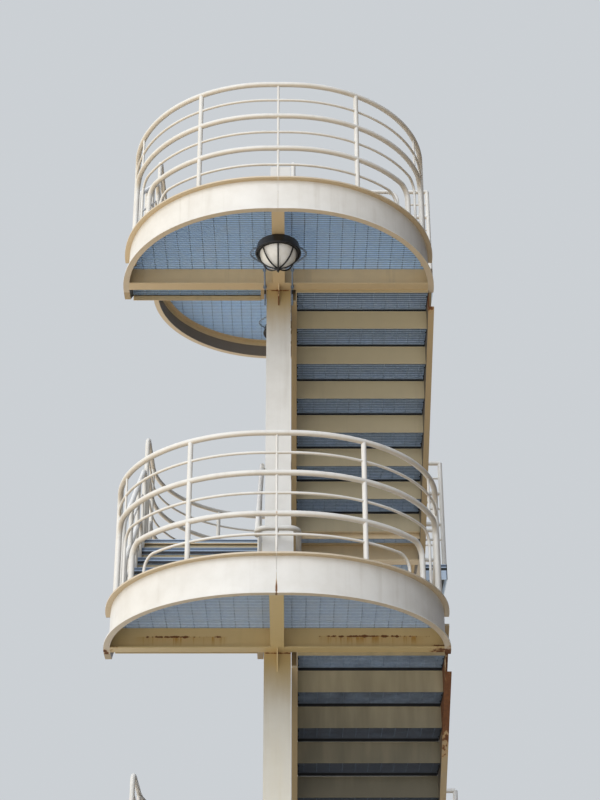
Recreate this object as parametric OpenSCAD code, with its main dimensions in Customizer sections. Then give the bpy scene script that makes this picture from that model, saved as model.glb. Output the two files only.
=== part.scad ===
// Fire escape stair: five half-storey flights round a central line of two columns.
// Front landings are D-shaped in plan, rear landings are longer and lead to the doors.
// Origin: centre of the underside of the front column's base plate. -Y is the front.

/* [Levels] */
// Height of one step
rise = 198; // [160:1:220]
// Depth of one step, nosing to nosing
going = 250; // [220:1:300]
// Risers in each half-storey flight
risers = 8; // [7:1:9]

/* [Landings] */
// Half width of a landing, to the outer face of the web
half_width = 1250; // [1000:10:1500]
// Plan radius of the fascia's outer face at each corner
corner_radius = 1180; // [700:10:1240]
// Distance that the front curve centres stand ahead of the column's centre
front_curve_offset = 60; // [30:1:90]
// Length of the rear landings' straight sides, behind the rear column's face
rear_side_length = 690; // [400:10:900]
// Thickness of the landing gratings
deck_depth = 35; // [25:1:40]

/* [Fascia and stringer channel] */
// Depth of the channel
channel_depth = 305; // [254:1:330]
// Thickness of the channel's web
web_t = 8; // [6:0.5:10]
// Width that the flanges stand out from the web's outer face
flange_out = 40; // [30:1:50]
// Thickness of the channel's flanges
flange_t = 12; // [8:0.5:14]
// Height of the channel's top over the deck
toe_height = 100; // [80:1:120]
// Height of a stringer's top over the nosings, measured upright
stringer_over_nosing = 65; // [50:1:67]
// Width of an inner stringer, web and flanges
inner_stringer_w = 45; // [40:1:50]
// Gap between the column and an inner stringer
column_gap = 5; // [3:1:10]
// Root gap of the fascia's butt joint at its middle
seam_gap = 2; // [1:0.5:4]

/* [Columns] */
// Side of the square columns
column_w = 200; // [180:1:240]
// Wall of the square columns
column_wall = 10; // [8:1:12]
// Height of a column's top over its highest deck
newel_height = 790; // [780:1:900]
// Side of a base plate
base_w = 460; // [420:1:500]
// Thickness of a base plate
base_t = 25; // [20:1:30]
// Distance between anchor holes, square pattern
anchor_pitch = 360; // [340:1:380]
// Diameter of an anchor hole
anchor_d = 22; // [18:1:26]
// Diameter of a column's weep hole
weep_d = 14; // [10:1:20]

/* [Beams] */
// Depth of the cross beam and the centre stringer
beam_depth = 170; // [150:1:180]
// Width of the cross beam's flanges
beam_w = 102; // [90:1:120]
// Width of the centre stringer's flanges
joist_w = 100; // [80:1:120]
// Thickness of the beams' flanges
beam_flange_t = 10; // [8:1:12]
// Thickness of the beams' webs
beam_web_t = 7; // [5:1:9]
// Height of the gusset under the centre stringer
gusset_h = 150; // [120:1:200]
// Thickness of the gusset
gusset_t = 10; // [8:1:12]

/* [Steps] */
// Thickness of a tread grating
tread_depth = 32; // [25:1:34]
// Distance that a tread's nosing passes the riser below it
nosing = 20; // [10:1:30]
// Thickness of a riser plate
riser_t = 5; // [4:0.5:8]
// Gap between a tread's underside and the riser below it
riser_gap = 32; // [20:1:40]

/* [Gratings] */
// Thickness of a grating bar
bar_t = 5; // [4:0.5:8]
// Pitch of the deck bars
deck_pitch = 60; // [50:1:80]
// Pitch of the bars that cross the deck bars
cross_pitch = 300; // [250:10:400]
// Bars between the front and the back bar of a tread
tread_bars = 4; // [3:1:5]
// Gap between grating panels
panel_gap = 4; // [2:1:6]
// Width of the solid edge along a landing's web
deck_edge = 25; // [20:1:40]

/* [Guards] */
// Diameter of the thick pipes
pipe_d = 42; // [34:1:48]
// Diameter of the thin pipes
rod_d = 21; // [16:1:26]
// Diameter of the thick posts
post_d = 38; // [30:1:41]
// Diameter of the thin posts and struts
strut_d = 18; // [12:1:20]
// Extra diameter of a bend over its pipe
elbow_extra = 1.5; // [1:0.5:3]
// Length that a pipe enters a bend
pipe_lap = 4; // [2:1:6]
// Pitch of the rails
rail_pitch = 159; // [140:1:165]
// Rails in a landing guard
rails = 6; // [4:1:6]
// Centre-line radius of the rails' bends
bend_r = 110; // [80:1:120]
// Height of the flights' handrails over the nosings
handrail_height = 740; // [700:10:760]
// Centre-line distance of the inner handrails from the middle
inner_rail_x = 160; // [155:1:175]
// Rails in a flight's outer guard
flight_rails = 4; // [3:1:4]

/* [Bridges] */
// Distance from the middle to the wall end of a bridge
bridge_reach = 1550; // [1450:10:1800]
// Width of a bridge's walkway
bridge_w = 900; // [800:10:950]
// Depth of a bridge's rim
bridge_depth = 150; // [120:1:180]

/* [Lamps] */
// Diameter of a lamp's canopy
lamp_d = 360; // [300:5:380]
// Height of a lamp's canopy
lamp_h = 80; // [60:1:90]
// Depth of a lamp's cage below its canopy
cage_depth = 140; // [120:1:150]
// Diameter of a cage rib
rib_d = 9; // [6:1:12]

/* [Hidden] */
$fn = 48;

cream = [0.87, 0.85, 0.79];
tan_paint = [0.66, 0.57, 0.40];
galvanised = [0.52, 0.58, 0.64];
riser_paint = [0.70, 0.64, 0.50];
lamp_black = [0.10, 0.10, 0.11];
frosted = [0.93, 0.94, 0.93];

flight_rise = rise * risers;
flight_run = going * risers;
slope = rise / going;
slope_angle = atan(slope);
stringer_v = channel_depth / cos(slope_angle);
flange_v = flange_t / cos(slope_angle);
channel_bottom = toe_height - channel_depth;

front_nosing = -column_w / 2;
rear_nosing = front_nosing + flight_run;
rear_column_y = rear_nosing - column_w / 2;
front_curve_y = -front_curve_offset;
rear_curve_y = rear_nosing + rear_side_length;
butt = column_w / 2 - front_curve_offset;

web_in = half_width - web_t;
inner_in = column_w / 2 + column_gap;
inner_out = inner_in + inner_stringer_w;
corner_shift = half_width - corner_radius;
rail_r = corner_radius - web_t - pipe_d / 2;
rail_x = corner_shift + rail_r;

first_rear_z = flight_rise;
lower_front_z = 2 * flight_rise;
second_rear_z = 3 * flight_rise;
upper_front_z = 4 * flight_rise;
top_rear_z = 5 * flight_rise;

beam_top = -deck_depth;
beam_bottom = beam_top - beam_depth;
well_y = rear_curve_y - 120;
bridge_y0 = well_y + 10;
bridge_y1 = bridge_y0 + bridge_w;
lamp_front_y = -770;
lamp_rear_y = 3140;
plate_t = 12;

module in_plane(at, heading) {
    translate(at)
        rotate([0, 0, heading])
            rotate([90, 0, 0])
                children();
}

// A pipe along a flat line of points, with rounded corners

function turn_at(p, i) =
    let (a = p[i] - p[i - 1], b = p[i + 1] - p[i])
    atan2(a[0] * b[1] - a[1] * b[0], a[0] * b[0] + a[1] * b[1]);

function tangent_at(p, i, bend) =
    i == 0 || i == len(p) - 1 ? 0 : bend * tan(abs(turn_at(p, i)) / 2);

function heading_at(p, i) = atan2(p[i + 1][1] - p[i][1], p[i + 1][0] - p[i][0]);

module bent_pipe(p, d, bend) {
    for (i = [0:len(p) - 2]) {
        start = tangent_at(p, i, bend);
        length = norm(p[i + 1] - p[i]) - start - tangent_at(p, i + 1, bend);
        lap0 = i == 0 ? 0 : pipe_lap;
        lap1 = i == len(p) - 2 ? 0 : pipe_lap;
        if (length > 0.01)
            translate(p[i])
                rotate([0, 0, heading_at(p, i)])
                    translate([start - lap0, 0, 0])
                        rotate([0, 90, 0])
                            cylinder(h = length + lap0 + lap1, d = d);
    }
    for (i = [1:1:len(p) - 2])
        translate(p[i])
            rotate([0, 0, heading_at(p, i - 1)])
                translate([-tangent_at(p, i, bend), sign(turn_at(p, i)) * bend, 0])
                    rotate([0, 0, turn_at(p, i) > 0 ? -90 : 90 + turn_at(p, i)])
                        rotate_extrude(angle = abs(turn_at(p, i)))
                            translate([bend, 0])
                                circle(d = d + elbow_extra);
}

// Landings, in their own frame: curve centres at y = 0, far point at -y, deck at z = 0

module half_shape(inset, side_length) {
    radius = corner_radius - inset;
    translate([corner_shift, 0])
        intersection() {
            circle(r = radius, $fn = 128);
            translate([0, -radius])
                square([radius, radius]);
        }
    translate([0, -radius])
        square([corner_shift, radius]);
    square([half_width - inset, side_length]);
}

module channel_profile() {
    outer = corner_radius + flange_out;
    polygon([
        [corner_radius - web_t, channel_bottom],
        [outer, channel_bottom],
        [outer, channel_bottom + flange_t],
        [corner_radius, channel_bottom + flange_t],
        [corner_radius, toe_height - flange_t],
        [outer, toe_height - flange_t],
        [outer, toe_height],
        [corner_radius - web_t, toe_height]
    ]);
}

module half_fascia(side_length) {
    translate([corner_shift, 0, 0])
        rotate([0, 0, -90])
            rotate_extrude(angle = 90, $fn = 128)
                channel_profile();
    translate([seam_gap / 2, 0, 0])
        rotate([90, 0, 90])
            linear_extrude(corner_shift - seam_gap / 2)
                mirror([1, 0])
                    channel_profile();
    if (side_length > 0)
        translate([corner_shift, side_length, 0])
            rotate([90, 0, 0])
                linear_extrude(side_length)
                    channel_profile();
}

module i_section(w, web, front_w) {
    translate([-w / 2, beam_bottom])
        square([w, beam_flange_t]);
    translate([-front_w, beam_top - beam_flange_t])
        square([w / 2 + front_w, beam_flange_t]);
    translate([-web / 2, beam_bottom])
        square([web, beam_depth]);
}

// Cross beam, centre stringer and gusset; the beam's back edge lies at y = back

module landing_beams(back, right_end) {
    far = -corner_radius + web_t;
    intersection() {
        translate([0, back - beam_w / 2, 0])
            rotate([90, 0, 90])
                translate([0, 0, -half_width])
                    linear_extrude(half_width + right_end)
                        i_section(beam_w, beam_web_t, beam_web_t / 2);
        translate([0, 0, beam_bottom - 1])
            linear_extrude(beam_depth + 2) {
                half_shape(web_t, max(back, 1));
                mirror([1, 0])
                    half_shape(web_t, max(back, 1));
            }
    }
    translate([0, back - beam_w / 2, 0])
        rotate([90, 0, 0])
            linear_extrude(back - beam_w / 2 - far)
                i_section(joist_w, beam_web_t, joist_w / 2);
    translate([gusset_t / 2, back, beam_bottom])
        rotate([0, -90, 0])
            linear_extrude(gusset_t)
                polygon([[0, 0], [0, -beam_w], [-gusset_h, 0]]);
}

module grating(x0, x1, y0, y1, depth, along, across) {
    bars = max(1, round((y1 - y0) / along));
    rods = max(1, round((x1 - x0) / across));
    for (i = [0:bars])
        translate([x0, y0 + (y1 - y0 - bar_t) * i / bars])
            square([x1 - x0, bar_t]);
    for (i = [0:rods])
        translate([x0 + (x1 - x0 - bar_t) * i / rods, y0])
            square([bar_t, y1 - y0]);
}

// One half of a landing's grating: bars, and a band that follows the web

module half_deck(y1) {
    translate([0, 0, -deck_depth])
        linear_extrude(deck_depth) {
            intersection() {
                half_shape(web_t, max(y1, 1));
                grating(panel_gap / 2, half_width, -corner_radius, y1, deck_depth, deck_pitch, cross_pitch);
            }
            difference() {
                intersection() {
                    half_shape(web_t, max(y1, 1));
                    translate([panel_gap / 2, -corner_radius])
                        square([half_width, corner_radius + y1]);
                }
                half_shape(web_t + deck_edge, max(y1, 1) + 1);
            }
        }
}

module panel(x0, x1, y0, y1) {
    translate([0, 0, -deck_depth])
        linear_extrude(deck_depth)
            grating(x0, x1, y0, y1, deck_depth, deck_pitch, cross_pitch);
}

// Landing guards: rails nested one inside the other, ends turned down on to the deck

function rail_z(k) = toe_height + rail_pitch * k;
function rail_d(k) = (rails - k) % 2 == 0 ? pipe_d : rod_d;
function on_arc(a) = [corner_shift + rail_r * sin(a), -rail_r * cos(a)];
bend_angle = 2 * asin(bend_r / (2 * rail_r));

// A rail of one side, from the middle to its foot at plan angle a from the front

module rail_to_arc(k, a, foot) {
    end = foot ? a - bend_angle : a;
    lap = foot ? pipe_lap / rail_r * 180 / PI : 0;
    translate([0, -rail_r, rail_z(k)])
        rotate([0, 90, 0])
            cylinder(h = corner_shift, d = rail_d(k));
    translate([corner_shift, 0, rail_z(k)])
        rotate([0, 0, -90])
            rotate_extrude(angle = end + lap, $fn = 128)
                translate([rail_r, 0])
                    circle(d = rail_d(k), $fn = 48);
    if (foot)
        in_plane([on_arc(end)[0], on_arc(end)[1], 0], end + bend_angle / 2)
            bent_pipe([[0, rail_z(k)], [bend_r, rail_z(k)], [bend_r, 0]], rail_d(k), bend_r);
}

module rail_to_side(k, y, foot) {
    rail_to_arc(k, 90, false);
    in_plane([rail_x, 0, 0], 90)
        if (foot)
            bent_pipe([[0, rail_z(k)], [y, rail_z(k)], [y, 0]], rail_d(k), bend_r);
        else
            bent_pipe([[0, rail_z(k)], [y, rail_z(k)]], rail_d(k), bend_r);
}

module arc_post(a, d, z0, z1) {
    translate([on_arc(a)[0], on_arc(a)[1], z0])
        cylinder(h = z1 - z0, d = d);
}

front_feet = [50, 59, 66.5, 78];
front_end = 86.8;
post_angle = 29;
strut_angle = 68;

module front_half_guard() {
    rail_to_arc(rails, front_end, true);
    rail_to_arc(rails - 1, front_end, false);
    for (k = [1:rails - 2])
        rail_to_arc(k, front_feet[k - 1 + 6 - rails], true);
    arc_post(post_angle, post_d, 0, rail_z(rails));
    arc_post(strut_angle, strut_d, rail_z(rails - 2), rail_z(rails));
}

module middle_post() {
    translate([0, -rail_r, 0])
        cylinder(h = rail_z(rails), d = strut_d);
}

// Nested hoops with a straight base from 0 to length, in a flat frame

hoop_step = 75;

module hoops(length) {
    for (k = [rails:-2:1])
        let (inset = pipe_d / 2 + hoop_step * (rails - k) / 2)
            bent_pipe([
                [inset, 0], [inset, rail_z(k)], [length - inset, rail_z(k)], [length - inset, 0]
            ], pipe_d, min(bend_r, length / 2 - inset - 2 * pipe_lap));
    for (k = [rails - 1:-2:1])
        let (inset = pipe_d / 2 + hoop_step * (rails - 1 - k) / 2)
            bent_pipe([[inset, rail_z(k)], [length - inset, rail_z(k)]], rod_d, bend_r);
}

// The handrail's turn round the front of a column, and the plate that holds it

return_y = 240;
return_start = 40;
return_bend = 80;
bracket = [240, plate_t, 185];
bracket_z = 600;

module return_rail() {
    translate([0, front_nosing, handrail_height])
        bent_pipe([
            [-inner_rail_x, -return_start], [-inner_rail_x, -return_y + column_w / 2],
            [inner_rail_x, -return_y + column_w / 2], [inner_rail_x, -return_start]
        ], pipe_d, return_bend);
    translate([-bracket[0] / 2, front_nosing - plate_t, bracket_z])
        cube(bracket);
    translate([0, front_nosing, handrail_height])
        rotate([90, 0, 0])
            cylinder(h = return_y - column_w / 2, d = strut_d);
}

// Places a landing's own frame at the front or, turned half round, at the rear

module at_front(z) {
    translate([0, front_curve_y, z])
        children();
}

module at_rear(z) {
    translate([0, rear_curve_y, z])
        rotate([0, 0, 180])
            children();
}

module both_halves() {
    children();
    mirror([1, 0, 0])
        children();
}

front_back = front_nosing - front_curve_y;
rear_back = rear_curve_y - rear_nosing;
extension = going - riser_t - panel_gap;

module front_fascia(z) {
    color(cream)
        at_front(z)
            both_halves()
                half_fascia(0);
}

module front_beams(z) {
    color(tan_paint)
        at_front(z)
            landing_beams(front_back, half_width);
}

module front_deck(z) {
    color(galvanised)
        at_front(z) {
            both_halves()
                half_deck(front_back);
            panel(-web_in, -inner_out, front_back + panel_gap, front_back + panel_gap + extension);
        }
}

module front_guard(z) {
    color(cream) {
        at_front(z) {
            both_halves()
                front_half_guard();
            middle_post();
        }
        translate([0, 0, z])
            return_rail();
    }
}

side_foot = rear_side_length - 35;
rear_feet = [600, 450, 300, 150];
gap_end = 46;
gap_feet = [8, 17, 24.5, 36];

module rear_fascia(z) {
    color(cream)
        difference() {
            at_rear(z)
                both_halves()
                    half_fascia(rear_side_length + butt);
            translate([corner_shift, bridge_y0 + 30, z])
                cube([half_width, bridge_w - 60, toe_height + 1]);
        }
}

module rear_beams(z) {
    color(tan_paint)
        at_rear(z)
            landing_beams(rear_back, half_width);
}

module rear_deck(z) {
    color(galvanised)
        at_rear(z) {
            both_halves()
                half_deck(rear_back);
            panel(-web_in, -inner_out, rear_back + panel_gap, rear_back + panel_gap + extension);
        }
}

// In the landing's frame the bridge side is the left half, mirrored

module rear_outer_guard() {
    rail_to_side(rails, side_foot, true);
    rail_to_side(rails - 1, side_foot, false);
    for (k = [1:rails - 2])
        rail_to_side(k, side_foot - rear_feet[k - 1 + 6 - rails], true);
    arc_post(post_angle, post_d, 0, rail_z(rails));
    arc_post(90, post_d, 0, rail_z(rails));
    mirror([1, 0, 0]) {
        rail_to_arc(rails, gap_end, true);
        rail_to_arc(rails - 1, gap_end, false);
        for (k = [1:rails - 2])
            rail_to_arc(k, gap_feet[k - 1 + 6 - rails], true);
    }
    middle_post();
}

module rear_guard(z) {
    color(cream) {
        at_rear(z) {
            rear_outer_guard();
            translate([-rail_x, rear_curve_y - well_y, 0])
                in_plane([0, 0, 0], 90)
                    hoops(rear_back + extension - rear_curve_y + well_y - 20);
        }
        translate([0, rear_column_y, z])
            rotate([0, 0, 180])
                return_rail();
    }
}

// Flights, in their own frame: x runs down the flight from the upper nosing, the
// outer side is -y, and z = 0 is the upper deck

lower = -flight_rise;
function top_line(x) = stringer_over_nosing - slope * x;
function line_knee(level, over) = (over - level) / slope;

module stringer_side(x0, x1, level_top, level_bottom, over_top, over_bottom) {
    top_knee = line_knee(level_top, over_top);
    bottom_knee = line_knee(level_bottom, over_bottom);
    polygon([
        [x0, over_top - slope * x0], [top_knee, level_top], [x1, level_top],
        [x1, level_bottom], [bottom_knee, level_bottom], [x0, over_bottom - slope * x0]
    ]);
}

module stringer(x0, x1, y_web, y_flange) {
    top = lower + toe_height;
    bottom = lower + channel_bottom;
    over = stringer_over_nosing;
    under = over - stringer_v;
    wide = max(y_web + web_t, y_flange) - min(y_web, y_flange);
    translate([0, -y_web, 0])
        rotate([90, 0, 0])
            linear_extrude(web_t)
                stringer_side(x0, x1, top, bottom, over, under);
    translate([0, -min(y_web, y_flange), 0])
        rotate([90, 0, 0])
            linear_extrude(wide) {
                stringer_side(x0, x1, top, top - flange_t, over, over - flange_v);
                stringer_side(x0, x1, bottom + flange_t, bottom, under + flange_v, under);
            }
}

module flight_stringers() {
    stringer(butt, flight_run - butt, web_in, half_width + flange_out);
    stringer(0, flight_run, inner_out - web_t, inner_in);
}

foot_x = flight_run - 110;
foot_plate = [360, plate_t];

module ground_side(x0, over_top, over_bottom) {
    polygon([
        [x0, over_top - slope * x0], [foot_x, over_top - slope * foot_x],
        [foot_x, lower], [line_knee(lower, over_bottom), lower], [x0, over_bottom - slope * x0]
    ]);
}

module band_side(x0, x1, over_top, over_bottom) {
    polygon([
        [x0, over_top - slope * x0], [x1, over_top - slope * x1],
        [x1, over_bottom - slope * x1], [x0, over_bottom - slope * x0]
    ]);
}

module ground_stringer(x0, y_web, y_flange) {
    over = stringer_over_nosing;
    under = over - stringer_v;
    near = min(y_web, y_flange);
    wide = max(y_web + web_t, y_flange) - near;
    translate([0, -y_web, 0])
        rotate([90, 0, 0])
            linear_extrude(web_t)
                ground_side(x0, over, under);
    translate([0, -near, 0])
        rotate([90, 0, 0])
            linear_extrude(wide) {
                band_side(x0, foot_x, over, over - flange_v);
                band_side(x0, line_knee(lower, under + flange_v), under + flange_v, under);
            }
    translate([foot_x - foot_plate[0], -near - wide - 15, lower])
        cube([foot_plate[0], wide + 15, foot_plate[1]]);
}

// What stands on the ground stops at the front column's base plate

module base_plate_room() {
    translate([rear_nosing - base_w / 2, -base_w / 2, lower - 1])
        cube([base_w, base_w, base_t + 1]);
}

module ground_stringers() {
    difference() {
        intersection() {
            union() {
                ground_stringer(butt, web_in, half_width + flange_out);
                ground_stringer(0, inner_out - web_t, inner_in);
            }
            translate([0, -2 * half_width, lower])
                cube([flight_run, 2 * half_width, 2 * flight_rise]);
        }
        base_plate_room();
    }
}

module step(k, with_tread) {
    back = going * (k - 1);
    under = k == risers ? deck_depth : tread_depth;
    over = k == 1 ? deck_depth : tread_depth;
    translate([back, -web_in, -rise * k - under])
        cube([riser_t, web_in - inner_out, rise + under - over - riser_gap]);
    if (with_tread)
        translate([back + riser_t, -web_in, -rise * k - tread_depth])
            linear_extrude(tread_depth)
                translate([0, web_in - inner_out])
                    rotate([0, 0, -90])
                        grating(0, web_in - inner_out, 0, going - riser_t + nosing, tread_depth,
                            (going + nosing) / (tread_bars + 1), (web_in - inner_out) / 3);
}

module flight_steps(on_ground) {
    for (k = [1:risers - 1])
        step(k, true);
    if (on_ground)
        difference() {
            translate([going * (risers - 1), -web_in, lower])
                cube([riser_t, web_in - inner_out, rise - tread_depth - riser_gap]);
            base_plate_room();
        }
    else
        step(risers, false);
}

// Outer guard: nested rails with ends turned down on to the treads; inner handrail

upper_feet = [0.32, 0.7, 1.22, 1.6];
lower_feet = [1.24, 1.64, 2.16, 2.56];
rail_over = rail_pitch / cos(slope_angle);
flight_bend = 90;
function tread_top(x) = -rise * (floor(x / going) + 1);

module flight_guard() {
    for (k = [1:flight_rails])
        let (
            over = handrail_height - rail_over * (flight_rails - k),
            x0 = going * upper_feet[flight_rails - k],
            x1 = flight_run - going * lower_feet[flight_rails - k],
            d = (flight_rails - k) % 2 == 0 ? pipe_d : rod_d
        )
            in_plane([0, -(web_in - pipe_d / 2), 0], 0)
                bent_pipe([
                    [x0, tread_top(x0)], [x0, over - slope * x0],
                    [x1, over - slope * x1], [x1, tread_top(x1)]
                ], d, min(flight_bend, over / 2));
    for (x = [going * 2.5, going * 4.5])
        translate([x, -(web_in - pipe_d / 2), tread_top(x)])
            cylinder(h = handrail_height - slope * x - tread_top(x), d = post_d);
    in_plane([0, -inner_rail_x, 0], 0)
        bent_pipe([
            [-return_start, handrail_height], [0, handrail_height],
            [flight_run, handrail_height + lower], [flight_run + return_start, handrail_height + lower]
        ], pipe_d, return_bend);
    for (x = [going * 1.5, going * 3.5, going * 5.5])
        translate([x, -inner_rail_x, tread_top(x)])
            cylinder(h = handrail_height - slope * x - tread_top(x), d = strut_d);
}

// Right-hand flights go down to the rear, left-hand flights go down to the front

module right_flight(z) {
    translate([0, front_nosing, z])
        rotate([0, 0, 90])
            children();
}

module left_flight(z) {
    translate([0, rear_nosing, z])
        rotate([0, 0, -90])
            children();
}

module column(y, top) {
    color(cream)
        translate([0, y, 0])
            difference() {
                union() {
                    translate([-base_w / 2, -base_w / 2, 0])
                        cube([base_w, base_w, base_t]);
                    translate([-column_w / 2, -column_w / 2, base_t])
                        cube([column_w, column_w, top - base_t]);
                }
                translate([-column_w / 2 + column_wall, -column_w / 2 + column_wall, base_t])
                    cube([column_w - 2 * column_wall, column_w - 2 * column_wall, top - base_t - column_wall]);
                for (x = [-1, 1], s = [-1, 1])
                    translate([x * anchor_pitch / 2, s * anchor_pitch / 2, -1])
                        cylinder(h = base_t + 2, d = anchor_d);
                translate([0, 0, base_t + 2 * weep_d])
                    rotate([0, 90, 0])
                        cylinder(h = column_w, d = weep_d);
            }
}

module front_column() {
    column(0, upper_front_z + newel_height);
}

module rear_column() {
    column(rear_column_y, top_rear_z + newel_height);
}

// Top landing: the half over the last flight's side only, closed along the well

module top_rear_fascia() {
    closed = rear_curve_y - well_y;
    color(cream) {
        difference() {
            at_rear(top_rear_z) {
                half_fascia(rear_side_length + butt);
                mirror([1, 0, 0])
                    half_fascia(closed);
            }
            translate([corner_shift, bridge_y0 + 30, top_rear_z])
                cube([half_width, bridge_w - 60, toe_height + 1]);
        }
        translate([inner_out, well_y, top_rear_z + channel_bottom])
            cube([web_in - inner_out, web_t, channel_depth]);
        translate([inner_out, rear_nosing + beam_w, top_rear_z + channel_bottom])
            cube([web_t, well_y - rear_nosing - beam_w, channel_depth]);
    }
}

module top_rear_beams() {
    color(tan_paint)
        at_rear(top_rear_z)
            mirror([1, 0, 0])
                landing_beams(rear_back, inner_out);
}

module top_rear_deck() {
    color(galvanised)
        at_rear(top_rear_z) {
            half_deck(rear_back);
            mirror([1, 0, 0]) {
                half_deck(rear_curve_y - well_y - web_t);
                panel(panel_gap / 2, inner_out, rear_curve_y - well_y - web_t + panel_gap, rear_back);
            }
        }
}

module top_rear_guard() {
    color(cream) {
        at_rear(top_rear_z)
            rear_outer_guard();
        translate([inner_out + web_t + 20, well_y + web_t + pipe_d / 2, top_rear_z])
            in_plane([0, 0, 0], 0)
                hoops(web_in - inner_out - 2 * web_t - 20);
        translate([inner_out - pipe_d / 2, rear_nosing + 20, top_rear_z])
            in_plane([0, 0, 0], 90)
                hoops(well_y - rear_nosing - 20);
        translate([0, rear_nosing, top_rear_z]) {
            translate([0, 0, handrail_height])
                bent_pipe([
                    [-inner_rail_x, return_start], [-inner_rail_x, return_y - column_w / 2],
                    [0, return_y - column_w / 2], [0, 0]
                ], pipe_d, return_bend - 10);
            translate([-bracket[0] / 2, 0, bracket_z])
                cube(bracket);
        }
    }
}

module bridges() {
    color(galvanised)
        for (z = [first_rear_z, second_rear_z, top_rear_z])
            difference() {
                translate([corner_shift, bridge_y0, z - bridge_depth])
                    cube([bridge_reach - corner_shift, bridge_w, bridge_depth]);
                translate([corner_shift, bridge_y0 + web_t, z - bridge_depth - 1])
                    cube([bridge_reach - corner_shift - web_t, bridge_w - 2 * web_t, bridge_depth - deck_depth + 1]);
                translate([0, rear_curve_y, z - bridge_depth - 1])
                    rotate([0, 0, 180])
                        mirror([1, 0, 0])
                            linear_extrude(bridge_depth + 2)
                                half_shape(0, rear_side_length);
            }
}

bridge_start = half_width + flange_out + pipe_d / 2 + 5;

module bridge_guards() {
    color(cream)
        for (z = [first_rear_z, second_rear_z, top_rear_z], y = [bridge_y0 + pipe_d / 2, bridge_y1 - pipe_d / 2])
            translate([bridge_start, y, z]) {
                length = bridge_reach - pipe_d / 2 - bridge_start;
                for (x = [0, length])
                    translate([x, 0, 0])
                        cylinder(h = rail_z(rails), d = pipe_d);
                for (k = [1:rails])
                    translate([0, 0, rail_z(k)])
                        rotate([0, 90, 0])
                            cylinder(h = length, d = rail_d(k));
            }
}

// Lamps under the centre stringers: a canopy, a cage of eight ribs and a frosted dome

cage_r = ((lamp_d / 2 - 10) * (lamp_d / 2 - 10) + cage_depth * cage_depth) / (2 * cage_depth);
cage_half = acos((cage_r - cage_depth) / cage_r);
glass_r = cage_r - 13;
finial_h = 30;

module at_lamps() {
    for (p = [[lamp_front_y, upper_front_z], [lamp_rear_y, top_rear_z]])
        translate([0, p[0], p[1] + beam_bottom - lamp_h])
            children();
}

module lamp_cages() {
    color(lamp_black)
        at_lamps() {
            cylinder(h = lamp_h, d1 = lamp_d, d2 = lamp_d - 40, $fn = 64);
            for (a = [0:45:135])
                translate([0, 0, cage_r - cage_depth])
                    rotate([0, 0, a])
                        rotate([90, 0, 0])
                            rotate([0, 0, -90 - cage_half])
                                rotate_extrude(angle = 2 * cage_half)
                                    translate([cage_r, 0])
                                        circle(d = rib_d);
            translate([0, 0, -cage_depth - finial_h])
                cylinder(h = finial_h, d = 2 * rib_d);
        }
}

module lamp_glasses() {
    color(frosted)
        at_lamps()
            difference() {
                translate([0, 0, cage_r - cage_depth])
                    sphere(r = glass_r, $fn = 96);
                translate([0, 0, cage_r - cage_depth])
                    sphere(r = glass_r - 5, $fn = 96);
                translate([-lamp_d, -lamp_d, 0])
                    cube([2 * lamp_d, 2 * lamp_d, 2 * lamp_d]);
            }
}

front_column();
rear_column();
front_fascia(lower_front_z);  // lower_front_fascia
front_beams(lower_front_z);  // lower_front_beams
front_deck(lower_front_z);  // lower_front_deck
front_guard(lower_front_z);  // lower_front_guard
front_fascia(upper_front_z);  // upper_front_fascia
front_beams(upper_front_z);  // upper_front_beams
front_deck(upper_front_z);  // upper_front_deck
front_guard(upper_front_z);  // upper_front_guard
rear_fascia(first_rear_z);  // first_rear_fascia
rear_beams(first_rear_z);  // first_rear_beams
rear_deck(first_rear_z);  // first_rear_deck
rear_guard(first_rear_z);  // first_rear_guard
rear_fascia(second_rear_z);  // second_rear_fascia
rear_beams(second_rear_z);  // second_rear_beams
rear_deck(second_rear_z);  // second_rear_deck
rear_guard(second_rear_z);  // second_rear_guard
top_rear_fascia();
top_rear_beams();
top_rear_deck();
top_rear_guard();
color(cream) left_flight(first_rear_z) ground_stringers();  // first_flight_stringers
color(riser_paint) left_flight(first_rear_z) flight_steps(true);  // first_flight_steps
color(cream) left_flight(first_rear_z) flight_guard();  // first_flight_guard
color(cream) right_flight(lower_front_z) flight_stringers();  // second_flight_stringers
color(riser_paint) right_flight(lower_front_z) flight_steps(false);  // second_flight_steps
color(cream) right_flight(lower_front_z) flight_guard();  // second_flight_guard
color(cream) left_flight(second_rear_z) flight_stringers();  // third_flight_stringers
color(riser_paint) left_flight(second_rear_z) flight_steps(false);  // third_flight_steps
color(cream) left_flight(second_rear_z) flight_guard();  // third_flight_guard
color(cream) right_flight(upper_front_z) flight_stringers();  // fourth_flight_stringers
color(riser_paint) right_flight(upper_front_z) flight_steps(false);  // fourth_flight_steps
color(cream) right_flight(upper_front_z) flight_guard();  // fourth_flight_guard
color(cream) left_flight(top_rear_z) flight_stringers();  // fifth_flight_stringers
color(riser_paint) left_flight(top_rear_z) flight_steps(false);  // fifth_flight_steps
color(cream) left_flight(top_rear_z) flight_guard();  // fifth_flight_guard
bridges();
bridge_guards();
lamp_cages();
lamp_glasses();
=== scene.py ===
"""Looks of the fire escape stair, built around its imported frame.

Metres throughout, in the frame's own axes: +Z up, -Y towards the round front landings
and +X towards the side that the bridges reach.
"""

import logging
import math
from collections.abc import Iterator
from contextlib import contextmanager
from dataclasses import dataclass, field
from enum import Enum
from typing import Union

import bmesh
import bpy
from mathutils import Matrix, Vector


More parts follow.
